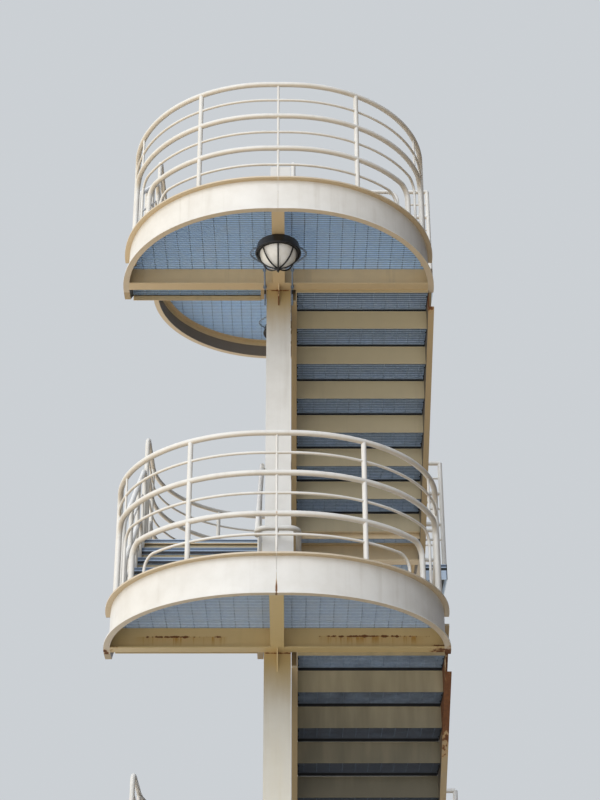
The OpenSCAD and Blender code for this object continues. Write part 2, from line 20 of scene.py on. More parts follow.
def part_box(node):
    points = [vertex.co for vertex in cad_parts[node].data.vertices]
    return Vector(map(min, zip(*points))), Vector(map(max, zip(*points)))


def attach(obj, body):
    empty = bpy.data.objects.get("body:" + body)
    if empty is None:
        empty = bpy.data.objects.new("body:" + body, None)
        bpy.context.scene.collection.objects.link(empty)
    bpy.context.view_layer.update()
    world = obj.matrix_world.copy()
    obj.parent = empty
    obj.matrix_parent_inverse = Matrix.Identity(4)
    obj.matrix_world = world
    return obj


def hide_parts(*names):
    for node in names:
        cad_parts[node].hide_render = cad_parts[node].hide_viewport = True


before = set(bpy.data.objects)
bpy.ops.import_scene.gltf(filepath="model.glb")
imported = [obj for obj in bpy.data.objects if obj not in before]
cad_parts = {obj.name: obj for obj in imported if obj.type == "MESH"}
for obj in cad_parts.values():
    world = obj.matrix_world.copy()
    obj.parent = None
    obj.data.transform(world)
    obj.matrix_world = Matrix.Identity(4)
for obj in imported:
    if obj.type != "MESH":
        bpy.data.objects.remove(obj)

log = logging.getLogger("fire_escape")

BODY = "root"
SMOOTH_BELOW = math.radians(35.0)
MIRROR = Matrix.Diagonal((-1.0, 1.0, 1.0, 1.0))
Z_AXIS = (0.0, 0.0, 1.0)

Point = tuple[float, float, float]
Colour = tuple[float, float, float]
Pair = tuple[float, float]
Span = tuple[float, float, float]
Socket = bpy.types.NodeSocket
Value = Union[float, tuple[float, ...], Socket]
Inputs = dict[Union[int, str], Value]


class End(Enum):
    """The end of the stair that a landing stands at, as the turn of its own frame."""

    FRONT = 0.0
    REAR = 180.0


class Side(Enum):
    """The side of the stair that a flight runs on, as the turn of its own frame."""

    RIGHT = 0.0
    LEFT = 180.0


@dataclass(frozen=True)
class Sizes:
    """Sizes of the real sections that the pieces here are made to, in metres.

    Args:
        web: The fascia's web and the bridges' rim plates, in thickness.
        corner_radius: The plan radius of the fascia's outer face.
        corner_shift: How far the centres of a landing's two curves lie from the middle.
        deck_depth: The depth of the bearing bars of the landings.
        tread_depth: The same for the treads.
        bearing_bar: A bearing bar's thickness.
        bearing_pitch: The distance between them.
        rod: The side of a twisted cross rod.
        rod_pitch: The distance between them.
        rod_level: How deep they lie, as a share of the bars' depth.
        panel_gap: Between two panels of a floor.
        joint_gap: Between the front and the back row of panels.
        inner_edge: The inner ends of the treads, beside the columns.
        well_edge: Where the top landing's short side ends, with its closing plate.
        rise: The height of one step.
        going: Its depth.
        risers: The number of steps in a flight.
        riser: The thickness of a riser plate and of a tread's end plates.
        riser_gap: Between a riser plate and the tread over it.
        nosing: How far a tread reaches past the next riser.
        nosing_depth: The height of the nosing's front.
        nosing_width: The width of its top.
        ledger: The long leg of the angles under a floor.
        ledger_leg: Their thickness.
        beam_room: Between the angles' ends and the floor's back edge.
        foot_room: The strip of floor behind the foot of the flight up.
        beam_bottom: The underside of the cross beams, from the deck's top.
    """

    web: float = 0.008
    corner_radius: float = 1.18
    corner_shift: float = 0.07
    deck_depth: float = 0.032
    tread_depth: float = 0.032
    bearing_bar: float = 0.005
    bearing_pitch: float = 0.030
    rod: float = 0.006
    rod_pitch: float = 0.100
    rod_level: float = 0.74
    panel_gap: float = 0.004
    joint_gap: float = 0.012
    inner_edge: float = 0.150
    well_edge: float = 0.120
    rise: float = 0.198
    going: float = 0.250
    risers: int = 8
    riser: float = 0.005
    riser_gap: float = 0.032
    nosing: float = 0.020
    nosing_depth: float = 0.056
    nosing_width: float = 0.024
    ledger: float = 0.050
    ledger_leg: float = 0.006
    beam_room: float = 0.110
    foot_room: float = 0.110
    beam_bottom: float = -0.205


SIZES = Sizes()


def stand(place: Point, degrees: float) -> Matrix:
    """The move to a place, with a turn round Z before it."""
    return Matrix.Translation(place) @ Matrix.Rotation(math.radians(degrees), 4, "Z")


def spread(start: float, end: float, pitch: float) -> list[float]:
    """Even places between two ends, both ends included.

    Args:
        start: The first place.
        end: The last place.
        pitch: The distance that is wanted between them.

    Returns:
        The places.
    """
    gaps = max(1, round((end - start) / pitch))
    return [start + (end - start) * i / gaps for i in range(gaps + 1)]


def chord(radius: float, off: float) -> float:
    """Half the chord of a circle at a distance from its centre, or 0 past its edge."""
    return math.sqrt(max(0.0, radius**2 - off**2))


def put(name: str, data: bpy.types.ID) -> bpy.types.Object:
    """Makes an object and links it to the scene.

    Args:
        name: Its name.
        data: Its mesh, camera or light.

    Returns:
        The object.
    """
    made = bpy.data.objects.new(name, data)
    bpy.context.scene.collection.objects.link(made)
    return made


@dataclass(frozen=True)
class Landing:
    """One landing's own frame: its curve centre at y = 0, far point at -y, deck at z = 0.

    Args:
        name: The first words of the landing's nodes.
        end: The end of the stair that it stands at.
        is_top: Whether it is the highest, which has no flight up and a short side along the well.
    """

    name: str
    end: End
    is_top: bool = False

    @property
    def deck(self) -> tuple[Vector, Vector]:
        """The box of the deck's node."""
        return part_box(f"{self.name}_deck")

    @property
    def level(self) -> float:
        """The height of the deck's top."""
        return self.deck[1].z

    @property
    def web_radius(self) -> float:
        """The plan radius inside the web."""
        return SIZES.corner_radius - SIZES.web

    @property
    def half_width(self) -> float:
        """Half the floor's width, between the webs."""
        return self.web_radius + SIZES.corner_shift

    @property
    def curve_y(self) -> float:
        """Where the curves' centres stand along Y."""
        low, high = self.deck
        return low.y + self.web_radius if self.end is End.FRONT else high.y - self.web_radius

    @property
    def place(self) -> Matrix:
        """The move from the landing's frame to the stair's."""
        return stand((0.0, self.curve_y, self.level), self.end.value)

    @property
    def back(self) -> float:
        """The floor's back edge, over the cross beam."""
        if self.end is End.FRONT:
            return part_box("second_flight_steps")[0].y - self.curve_y
        return self.curve_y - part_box("third_flight_steps")[1].y


@dataclass(frozen=True)
class Flight:
    """One flight's own frame: y runs down from the upper nosing, x to the outer stringer.

    Args:
        name: The first words of the flight's nodes.
        side: The side of the stair that it runs on.
        landing: The landing at its top.
        on_ground: Whether its last riser stands on the ground.
    """

    name: str
    side: Side
    landing: str
    on_ground: bool = False

    @property
    def steps(self) -> tuple[Vector, Vector]:
        """The box of the steps' node."""
        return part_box(f"{self.name}_steps")

    @property
    def place(self) -> Matrix:
        """The move from the flight's frame to the stair's."""
        low, high = self.steps
        nosing = low.y if self.side is Side.RIGHT else high.y
        return stand((0.0, nosing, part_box(f"{self.landing}_deck")[1].z), self.side.value)

    @property
    def outer(self) -> float:
        """The distance from the middle to the outer stringer's web."""
        low, high = self.steps
        return max(abs(low.x), abs(high.x))


LANDINGS = (
    Landing("lower_front", End.FRONT),
    Landing("upper_front", End.FRONT),
    Landing("first_rear", End.REAR),
    Landing("second_rear", End.REAR),
    Landing("top_rear", End.REAR, is_top=True),
)
FLIGHTS = (
    Flight("first_flight", Side.LEFT, "first_rear", on_ground=True),
    Flight("second_flight", Side.RIGHT, "lower_front"),
    Flight("third_flight", Side.LEFT, "second_rear"),
    Flight("fourth_flight", Side.RIGHT, "upper_front"),
    Flight("fifth_flight", Side.LEFT, "top_rear"),
)


class Maker:
    """A mesh in the making, and the shapes that this stair's pieces are made from.

    Each shape is made in a small mesh of its own, which keeps the operators fast.
    """

    def __init__(self) -> None:
        """Starts an empty mesh."""
        self.bm = bmesh.new()
        self.at = Matrix.Identity(4)

    @contextmanager
    def placed(self, matrix: Matrix) -> Iterator[None]:
        """Moves all that is made inside the block.

        Args:
            matrix: The move, inside any that already holds.
        """
        before = self.at
        self.at = before @ matrix
        yield
        self.at = before

    @contextmanager
    def shape(self) -> Iterator[bmesh.types.BMesh]:
        """Lends a small mesh, and takes what was made in it.

        Yields:
            The small mesh.
        """
        small = bmesh.new()
        yield small
        mesh = bpy.data.meshes.new("shape")
        small.to_mesh(mesh)
        small.free()
        mesh.transform(self.at)
        self.bm.from_mesh(mesh)
        bpy.data.meshes.remove(mesh)

    def block(self, low: Point, high: Point) -> None:
        """Adds a bar or plate between two corners.

        Args:
            low: The lowest corner.
            high: The highest corner.
        """
        a, b = Vector(low), Vector(high)
        matrix = Matrix.Translation((a + b) / 2) @ Matrix.Diagonal((*(b - a), 1.0))
        with self.shape() as small:
            bmesh.ops.create_cube(small, size=1.0, matrix=matrix)

    def round_bar(self, start: Point, end: Point, radius: float, sides: int) -> None:
        """Adds a round bar, a washer or a nut between two points.

        Args:
            start: The middle of the first end.
            end: The middle of the other end.
            radius: Its radius.
            sides: How many sides it has; six make a nut.
        """
        a, b = Vector(start), Vector(end)
        turn = (b - a).to_track_quat("Z", "Y").to_matrix().to_4x4()
        with self.shape() as small:
            bmesh.ops.create_cone(small, cap_ends=True, segments=sides, radius1=radius, radius2=radius,
                                  depth=(b - a).length, matrix=Matrix.Translation((a + b) / 2) @ turn)

    def twisted_rod(self, start: Point, end: Point, size: float, turns_per_metre: float = 12.0) -> None:
        """Adds a square rod with a steady twist, as pressed gratings have.

        Args:
            start: The middle of the first end.
            end: The middle of the other end.
            size: The side of the square.
            turns_per_metre: The twist, which is made in sixths of a turn.
        """
        a, b = Vector(start), Vector(end)
        line = (b - a).normalized()
        steps = max(1, round((b - a).length * turns_per_metre * 6))
        turn = line.to_track_quat("Z", "Y").to_matrix().to_4x4()
        twist = Matrix.Rotation(math.tau / 6, 3, line)
        with self.shape() as small:
            bmesh.ops.create_circle(small, cap_ends=True, segments=4, radius=size / math.sqrt(2),
                                    matrix=Matrix.Translation(a) @ turn)
            edges = list(small.edges)
            for i in range(steps):
                grown = bmesh.ops.extrude_edge_only(small, edges=edges)["geom"]
                verts = [g for g in grown if isinstance(g, bmesh.types.BMVert)]
                edges = [g for g in grown if isinstance(g, bmesh.types.BMEdge) and set(g.verts) <= set(verts)]
                bmesh.ops.translate(small, verts=verts, vec=(b - a) / steps)
                bmesh.ops.rotate(small, verts=verts, cent=a + (b - a) * (i + 1) / steps, matrix=twist)
            bmesh.ops.edgeloop_fill(small, edges=edges)

    def tube(self, points: list[Point], radius: float, sides: int = 8) -> None:
        """Adds a bent rod: a circle carried along a line of points and capped.

        Args:
            points: The rod's middle line.
            radius: The rod's radius.
            sides: How many sides it has.
        """
        line = [Vector(p) for p in points]
        with self.shape() as small:
            before: list[bmesh.types.BMEdge] = []
            for i, point in enumerate(line):
                ahead = (line[min(i + 1, len(line) - 1)] - line[max(i - 1, 0)]).normalized()
                turn = ahead.to_track_quat("Z", "Y").to_matrix().to_4x4()
                ring = bmesh.ops.create_circle(small, segments=sides, radius=radius,
                                               matrix=Matrix.Translation(point) @ turn)["verts"]
                edges = list({e for v in ring for e in v.link_edges})
                if before:
                    bmesh.ops.bridge_loops(small, edges=before + edges)
                else:
                    bmesh.ops.edgeloop_fill(small, edges=edges)
                before = edges
            bmesh.ops.edgeloop_fill(small, edges=before)

    def lathe(self, points: list[Pair], steps: int = 48) -> None:
        """Spins a line of radii and heights round the Z axis.

        Args:
            points: The line, as radius and height.
            steps: How many steps the turn takes.
        """
        with self.shape() as small:
            verts = [small.verts.new((r, 0.0, z)) for r, z in points]
            edges = [small.edges.new(pair) for pair in zip(verts, verts[1:])]
            bmesh.ops.spin(small, geom=[*verts, *edges], cent=(0.0, 0.0, 0.0), axis=Z_AXIS,
                           angle=math.tau, steps=steps, use_merge=True)
            bmesh.ops.remove_doubles(small, verts=small.verts, dist=1e-5)

    def profile(self, points: list[Pair], x0: float, x1: float) -> None:
        """Adds a section drawn in the YZ plane and pulled along X.

        Args:
            points: The section's corners, as y and z.
            x0: Where it starts.
            x1: Where it ends.
        """
        with self.shape() as small:
            face = small.faces.new([small.verts.new((x0, y, z)) for y, z in points])
            grown = bmesh.ops.extrude_face_region(small, geom=[face])["geom"]
            moved = [g for g in grown if isinstance(g, bmesh.types.BMVert)]
            bmesh.ops.translate(small, verts=moved, vec=(x1 - x0, 0.0, 0.0))

    def arc_band(self, x: float, low: Pair, high: Pair, turn: float, steps: int = 48) -> None:
        """Adds a flat bar that follows an arc round the upright line through x on the X axis.

        Args:
            x: Where that line and the first section stand.
            low: The lowest corner of the first section, as y and z.
            high: Its highest corner.
            turn: How far it turns, in radians.
            steps: How many steps it takes.
        """
        corners = (low, (high[0], low[1]), high, (low[0], high[1]))
        with self.shape() as small:
            face = small.faces.new([small.verts.new((x, y, z)) for y, z in corners])
            bmesh.ops.spin(small, geom=[face, *face.edges, *face.verts], cent=(x, 0.0, 0.0), axis=Z_AXIS,
                           angle=turn, steps=steps)

    def piece(self, name: str, material: bpy.types.Material, slot: str, replaces: tuple[str, ...] = ()) -> None:
        """Closes the mesh and hands it to the stair.

        Args:
            name: The piece's name.
            material: Its finish.
            slot: The record's material slot; not used.
            replaces: The nodes that it stands for.
        """
        bmesh.ops.recalc_face_normals(self.bm, faces=self.bm.faces)
        for face in self.bm.faces:
            face.smooth = True
        mesh = bpy.data.meshes.new(name)
        self.bm.to_mesh(mesh)
        self.bm.free()
        mesh.set_sharp_from_angle(angle=SMOOTH_BELOW)
        mesh.materials.append(material)
        made = put(name, mesh)
        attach(made, BODY)
        if replaces:
            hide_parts(*replaces)
        mesh.calc_loop_triangles()
        log.info("%s: %d triangles", name, len(mesh.loop_triangles))


class Shading:
    """A node tree under construction, with short ways to add what the finishes need."""

    def __init__(self, tree: bpy.types.NodeTree) -> None:
        """Starts on an existing tree."""
        self.tree = tree

    def feed(self, node: bpy.types.Node, inputs: Inputs) -> None:
        """Sets or links a node's inputs.

        Args:
            node: The node.
            inputs: A value or a socket for each input, by name or place.
        """
        for key, value in inputs.items():
            if isinstance(value, Socket):
                self.tree.links.new(value, node.inputs[key])
            else:
                node.inputs[key].default_value = value

    def add(self, kind: str, inputs: Inputs, **settings: object) -> bpy.types.Node:
        """Adds a node, sets it and feeds its inputs.

        Args:
            kind: The node's type.
            inputs: A value or a socket for each input, by name or place.
            settings: The node's own properties.

        Returns:
            The node.
        """
        made = self.tree.nodes.new(kind)
        for key, value in settings.items():
            setattr(made, key, value)
        self.feed(made, inputs)
        return made

    def group(self, tree: bpy.types.NodeTree, inputs: Inputs) -> dict[str, Socket]:
        """Places one of the shared effects and gives its outputs by name."""
        return {o.name: o for o in self.add("ShaderNodeGroup", inputs, node_tree=tree).outputs}

    def math(self, how: str, a: Value, b: Value = 0.0) -> Socket:
        """One Math node's answer for two values."""
        return self.add("ShaderNodeMath", {0: a, 1: b}, operation=how).outputs[0]

    def times(self, a: Value, b: Value) -> Socket:
        """The product of two values."""
        return self.math("MULTIPLY", a, b)

    def vector(self, how: str, a: Value, b: Value) -> Socket:
        """One Vector Math node's answer for two points."""
        return self.add("ShaderNodeVectorMath", {0: a, 1: b}, operation=how).outputs[0]

    def part(self, where: Value) -> dict[str, Socket]:
        """Splits a vector into X, Y and Z."""
        return {o.name: o for o in self.add("ShaderNodeSeparateXYZ", {0: where}).outputs}

    def level(self, value: Value, full: float, first: float, last: float) -> Socket:
        """Turns a value between 0 and full into one between first and last."""
        return self.add("ShaderNodeMapRange", {0: value, 1: 0.0, 2: full, 3: first, 4: last}).outputs[0]

    def ramp(self, value: Value, low: float, high: float) -> Socket:
        """Turns a value into a soft mask: 0 at low, 1 at high.

        Args:
            value: The value.
            low: Where the mask starts.
            high: Where the mask is full.

        Returns:
            The mask.
        """
        made = self.add("ShaderNodeMapRange", {0: value, 1: low, 2: high, 3: 0.0, 4: 1.0},
                        interpolation_type="SMOOTHSTEP")
        return made.outputs[0]

    def noise(self, where: Value, scale: float, detail: float = 4.0, rough: float = 0.55) -> Socket:
        """One Noise texture.

        Args:
            where: The point.
            scale: Its scale, in patterns a metre.
            detail: How many octaves it has.
            rough: The octaves' share.

        Returns:
            The noise's value.
        """
        made = self.add("ShaderNodeTexNoise", {"Vector": where, "Scale": scale, "Detail": detail, "Roughness": rough})
        return made.outputs["Fac"]

    def bump(self, height: Socket, strength: float, distance: float) -> Socket:
        """The normal of a surface with small heights on it."""
        inputs = {"Strength": strength, "Distance": distance, "Height": height}
        return self.add("ShaderNodeBump", inputs).outputs["Normal"]

    def blend(self, share: Value, a: Value, b: Value) -> Socket:
        """Mixes two colours.

        Args:
            share: How much of the second shows.
            a: The first colour.
            b: The second colour.

        Returns:
            The mixed colour.
        """
        a, b = (c if isinstance(c, Socket) else (*c, 1.0) for c in (a, b))
        return self.add("ShaderNodeMix", {0: share, 6: a, 7: b}, data_type="RGBA").outputs[2]

    def film(self, mask: Socket, share: float, below: Value, colour: Colour) -> Socket:
        """A colour with a thin film of another over it, as strong as the share where the mask is 1."""
        return self.blend(self.times(mask, share), below, colour)


def effect(
    name: str, vectors: tuple[str, ...], numbers: tuple[str, ...], outputs: tuple[str, ...]
) -> tuple[Shading, dict[str, Socket], bpy.types.Node]:
    """Starts a shader node group.

    Args:
        name: The group's name.
        vectors: The names of the inputs that are points or directions.
        numbers: The names of the inputs that are numbers.
        outputs: The outputs' names; each is a number between 0 and 1.

    Returns:
        The group's shading, its inputs by name and its output node.
    """
    tree = bpy.data.node_groups.new(name, "ShaderNodeTree")
    for kind, names in (("Vector", vectors), ("Float", numbers)):
        for key in names:
            tree.interface.new_socket(name=key, in_out="INPUT", socket_type=f"NodeSocket{kind}")
    for key in outputs:
        tree.interface.new_socket(name=key, in_out="OUTPUT", socket_type="NodeSocketFloat")
    s = Shading(tree)
    given = {o.name: o for o in s.add("NodeGroupInput", {}).outputs}
    return s, given, s.add("NodeGroupOutput", {})


def weather_effect() -> bpy.types.NodeTree:
    """Rain streaks, mottling, painted shade and yellowing on undersides, rust blooms and an uneven skin on old paint.

    Returns:
        The group, with Streaks, Mottle, Underside Shade And Yellowing, Rust and Skin out.
    """
    s, given, end = effect("weather", ("Point", "Normal"), ("Rust Share",),
                           ("Streaks", "Mottle", "Underside Shade And Yellowing", "Rust", "Skin"))
    point = given["Point"]
    streak = s.noise(s.vector("MULTIPLY", point, (16.0, 16.0, 0.9)), 1.0, 5.0)
    broad = s.noise(point, 1.6, 3.0)
    facing = s.part(given["Normal"])["Z"]
    bloom = s.math("ADD", s.noise(point, 2.3, 8.0, 0.62), s.times(s.noise(point, 26.0, 6.0, 0.7), 0.34))
    edge = s.math("SUBTRACT", 0.95, s.times(given["Rust Share"], 0.5))
    rust = s.ramp(s.math("SUBTRACT", bloom, edge), 0.0, 0.10)
    s.feed(end, {
        "Streaks": s.times(s.ramp(streak, 0.48, 0.78), s.ramp(broad, 0.35, 0.65)),
        "Mottle": s.ramp(s.noise(point, 7.0, 6.0), 0.30, 0.72),
        # Faces that look down, for painted warm shade and yellowing
        "Underside Shade And Yellowing": s.ramp(s.times(facing, -1.0), 0.15, 0.85),
        "Rust": rust,
        "Skin": s.math("ADD", s.times(s.noise(point, 60.0, 5.0), 0.6), s.times(rust, 0.7)),
    })
    return s.tree


def from_centre(s: Shading, given: dict[str, Socket]) -> Socket:
    """How far the point lies from the centre, as a share of the reach along each axis."""
    return s.vector("DIVIDE", s.vector("SUBTRACT", given["Point"], given["Centre"]), given["Reach"])


def stain_effect() -> bpy.types.NodeTree:
    """A ragged patch round one point, such as rust that runs from a joint.

    Returns:
        The group, with Mask out.
    """
    s, given, end = effect("stain", ("Point", "Centre", "Reach"), ("Ragged",), ("Mask",))
    far = s.add("ShaderNodeVectorMath", {0: from_centre(s, given)}, operation="LENGTH").outputs["Value"]
    rough = s.noise(s.vector("MULTIPLY", given["Point"], (1.0, 1.0, 0.45)), 22.0, 6.0, 0.65)
    wobble = s.times(s.math("SUBTRACT", rough, 0.5), given["Ragged"])
    inside = s.math("ADD", s.math("SUBTRACT", 1.0, far), s.times(wobble, 2.4))
    s.feed(end, {"Mask": s.ramp(inside, 0.05, 0.5)})
    return s.tree


def drip_effect() -> bpy.types.NodeTree:
    """Rusty water lines that run down a web from one height and fade.

    Returns:
        The group, with Mask out.
    """
    s, given, end = effect("drip", ("Point", "Centre", "Reach"), (), ("Mask",))
    share = s.part(from_centre(s, given))
    inside = s.ramp(s.math("ABSOLUTE", share["X"]), 1.0, 0.8)
    down = s.times(s.ramp(share["Z"], -1.0, -0.1), s.math("LESS_THAN", share["Z"], 0.02))
    line = s.ramp(s.noise(s.vector("MULTIPLY", given["Point"], (38.0, 1.0, 1.5)), 1.0, 3.0), 0.50, 0.62)
    s.feed(end, {"Mask": s.times(s.times(inside, down), s.math("ADD", 0.30, s.times(line, 0.70)))})
    return s.tree


def galvanise_effect() -> bpy.types.NodeTree:
    """The crystal pattern and the dull wear of hot-dip zinc.

    Returns:
        The group, with Spangle and Wear out.
    """
    s, given, end = effect("galvanise", ("Point",), (), ("Spangle", "Wear"))
    cells = s.add("ShaderNodeTexVoronoi", {"Vector": given["Point"], "Scale": 70.0})
    wear = s.ramp(s.noise(given["Point"], 5.0, 6.0), 0.42, 0.75)
    s.feed(end, {"Spangle": s.part(cells.outputs["Color"])["X"], "Wear": wear})
    return s.tree


def wash_effect() -> bpy.types.NodeTree:
    """A ragged film that builds up between two heights and stops at a third.

    Returns:
        The group, with Mask out.
    """
    s, given, end = effect("wash", ("Point",), ("Start", "Full", "End"), ("Mask",))
    height = s.part(given["Point"])["Z"]
    reach = s.math("ABSOLUTE", s.math("SUBTRACT", given["Full"], given["Start"]))
    rough = s.math("SUBTRACT", s.noise(s.vector("MULTIPLY", given["Point"], (9.0, 9.0, 1.2)), 1.0), 0.5)
    ragged = s.math("ADD", height, s.times(rough, s.times(reach, 0.6)))
    mask = s.times(s.ramp(ragged, given["Start"], given["Full"]), s.math("LESS_THAN", height, given["End"]))
    s.feed(end, {"Mask": mask})
    return s.tree


def inward_effect() -> bpy.types.NodeTree:
    """The faces that look back at a landing's curve centre, or at the stair's middle.

    Returns:
        The group, with Mask out. Curved is 1 for a landing's centre and 0 for the middle.
    """
    s, given, end = effect("inward", ("Point", "Normal"), ("Front", "Rear", "Curved"), ("Mask",))
    place, facing = s.part(given["Point"]), s.part(given["Normal"])
    front, rear = given["Front"], given["Rear"]
    behind = s.math("GREATER_THAN", place["Y"], s.times(s.math("ADD", front, rear), 0.5))
    centre = s.math("ADD", front, s.times(behind, s.math("SUBTRACT", rear, front)))
    along = s.times(s.math("SUBTRACT", place["Y"], centre), facing["Y"])
    toward = s.math("ADD", s.times(place["X"], facing["X"]), s.times(along, given["Curved"]))
    s.feed(end, {"Mask": s.ramp(s.times(toward, -1.0), 0.02, 0.08)})
    return s.tree


WEATHER = weather_effect()
STAIN = stain_effect()
DRIP = drip_effect()
GALVANISE = galvanise_effect()
WASH = wash_effect()
INWARD = inward_effect()


def blank(name: str) -> tuple[bpy.types.Material, Shading, bpy.types.Node, Socket]:
    """Starts a material on Object coordinates.

    Args:
        name: Its name.

    Returns:
        The material, its shading, its shader and the place on the piece.
    """
    made = bpy.data.materials.new(name)
    made.use_nodes = True
    s = Shading(made.node_tree)
    point = s.add("ShaderNodeTexCoord", {}).outputs["Object"]
    return made, s, made.node_tree.nodes["Principled BSDF"], point


@dataclass(frozen=True)
class Stain:
    """One rust patch on a painted piece.

    Args:
        centre: Its middle, in the stair's frame.
        reach: Its half size along each axis.
        ragged: How torn its edge is.
    """

    centre: Point
    reach: Point
    ragged: float

    def mask(self, s: Shading, point: Socket) -> Socket:
        """Where the patch shows."""
        given = {"Point": point, "Centre": self.centre, "Reach": self.reach, "Ragged": self.ragged}
        return s.group(STAIN, given)["Mask"]


@dataclass(frozen=True)
class Drip:
    """Rusty water lines below one place.

    Args:
        centre: The middle of the line that they start from.
        reach: How far they go across, in depth and down.
        colour: Their colour.
        share: How strong they are.
    """

    centre: Point
    reach: Point
    colour: Colour = (0.48, 0.24, 0.03)
    share: float = 0.85

    def over(self, s: Shading, point: Socket, below: Socket) -> Socket:
        """Lays the lines over a colour."""
        run = s.group(DRIP, {"Point": point, "Centre": self.centre, "Reach": self.reach})
        return s.film(run["Mask"], self.share, below, self.colour)


@dataclass(frozen=True)
class Wash:
    """A film that builds up between two heights: dirt on some pieces, painted shade on others.

    Args:
        start: The height where it starts.
        full: The height where it is strongest, over or under the start.
        end: The height over which it stops.
        colour: Its colour.
        share: How strong it is.
    """

    start: float
    full: float
    end: float
    colour: Colour
    share: float

    def over(self, s: Shading, point: Socket, below: Socket) -> Socket:
        """Lays the film over a colour."""
        film = s.group(WASH, {"Point": point, "Start": self.start, "Full": self.full, "End": self.end})
        return s.film(film["Mask"], self.share, below, self.colour)


@dataclass(frozen=True)
class Shade:
    """Painted shade on the faces that look back at a landing's or a stair's middle.

    Args:
        colour: Its colour.
        share: How strong it is.
        centres: The curves' centres along Y, front and rear, or none for faces that look at X = 0.
    """

    colour: Colour
    share: float
    centres: tuple[float, ...] = ()

    def over(self, s: Shading, point: Socket, normal: Socket, below: Socket) -> Socket:
        """Lays the painted shade over a colour.

        Args:
            s: The material's shading.
            point: The place on the piece.
            normal: The face's direction.
            below: The colour so far.

        Returns:
            The colour with the film on it.
        """
        front, rear = self.centres or (0.0, 0.0)
        given = {"Point": point, "Normal": normal, "Front": front, "Rear": rear, "Curved": float(bool(self.centres))}
        return s.film(s.group(INWARD, given)["Mask"], self.share, below, self.colour)


@dataclass(frozen=True)
class OldPaint:
    """Old gloss paint: its colour, the painted shade and yellowing on its undersides, its dirt and its rust.

    Args:
        name: The material's name.
        colour: The paint where it is clean.
        under: The colour of the painted warm shade and yellowing on the faces that look down.
        shade_and_yellowing_share: How strong that is.
        dirt_share: How strong the rain streaks are.
        rust_share: How much of the paint has rusted.
        stains: Rust patches at named places.
        drips: Rusty water lines at named places.
        washes: Films between two heights: dirt on some pieces, painted shade on others.
        shade: The painted shade on the faces that look inwards.
        dirt: The colour of the rain streaks.
        halo: The stained paint round the rust.
        scale: The rust's dark and light.
    """

    name: str
    colour: Colour
    under: Colour
    shade_and_yellowing_share: float
    dirt_share: float
    rust_share: float
    stains: tuple[Stain, ...] = ()
    drips: tuple[Drip, ...] = ()
    washes: tuple[Wash, ...] = ()
    shade: Union[Shade, None] = None
    dirt: Colour = (0.36, 0.31, 0.22)
    halo: Colour = (0.55, 0.34, 0.15)
    scale: tuple[Colour, Colour] = ((0.07, 0.024, 0.010), (0.28, 0.11, 0.035))

    def material(self) -> bpy.types.Material:
        """Builds the material.

        Returns:
            The material, on Object coordinates.
        """
        made, s, shader, point = blank(self.name)
        normal = s.add("ShaderNodeNewGeometry", {}).outputs["Normal"]
        out = s.group(WEATHER, {"Point": point, "Normal": normal, "Rust Share": self.rust_share})
        colour = s.film(out["Mottle"], 0.12, self.colour, self.dirt)
        # Painted warm shade and yellowing on the faces that look down
        colour = s.film(out["Underside Shade And Yellowing"], self.shade_and_yellowing_share, colour, self.under)
        colour = s.film(out["Streaks"], self.dirt_share, colour, self.dirt)
        # Painted shade on the faces that look inwards
        if self.shade:
            colour = self.shade.over(s, point, normal, colour)
        for layer in (*self.washes, *self.drips):
            colour = layer.over(s, point, colour)
        rust = out["Rust"]
        for stain in self.stains:
            rust = s.math("MAXIMUM", rust, stain.mask(s, point))
        scale = s.blend(s.noise(point, 45.0, 6.0), *self.scale)
        halo = s.blend(s.math("POWER", rust, 0.45), colour, self.halo)
        s.feed(shader, {
            "Base Color": s.blend(s.ramp(rust, 0.35, 0.75), halo, scale),
            "Roughness": s.level(rust, 0.6, 0.42, 0.85),
            "Normal": s.bump(out["Skin"], 0.25, 0.002),
        })
        return made


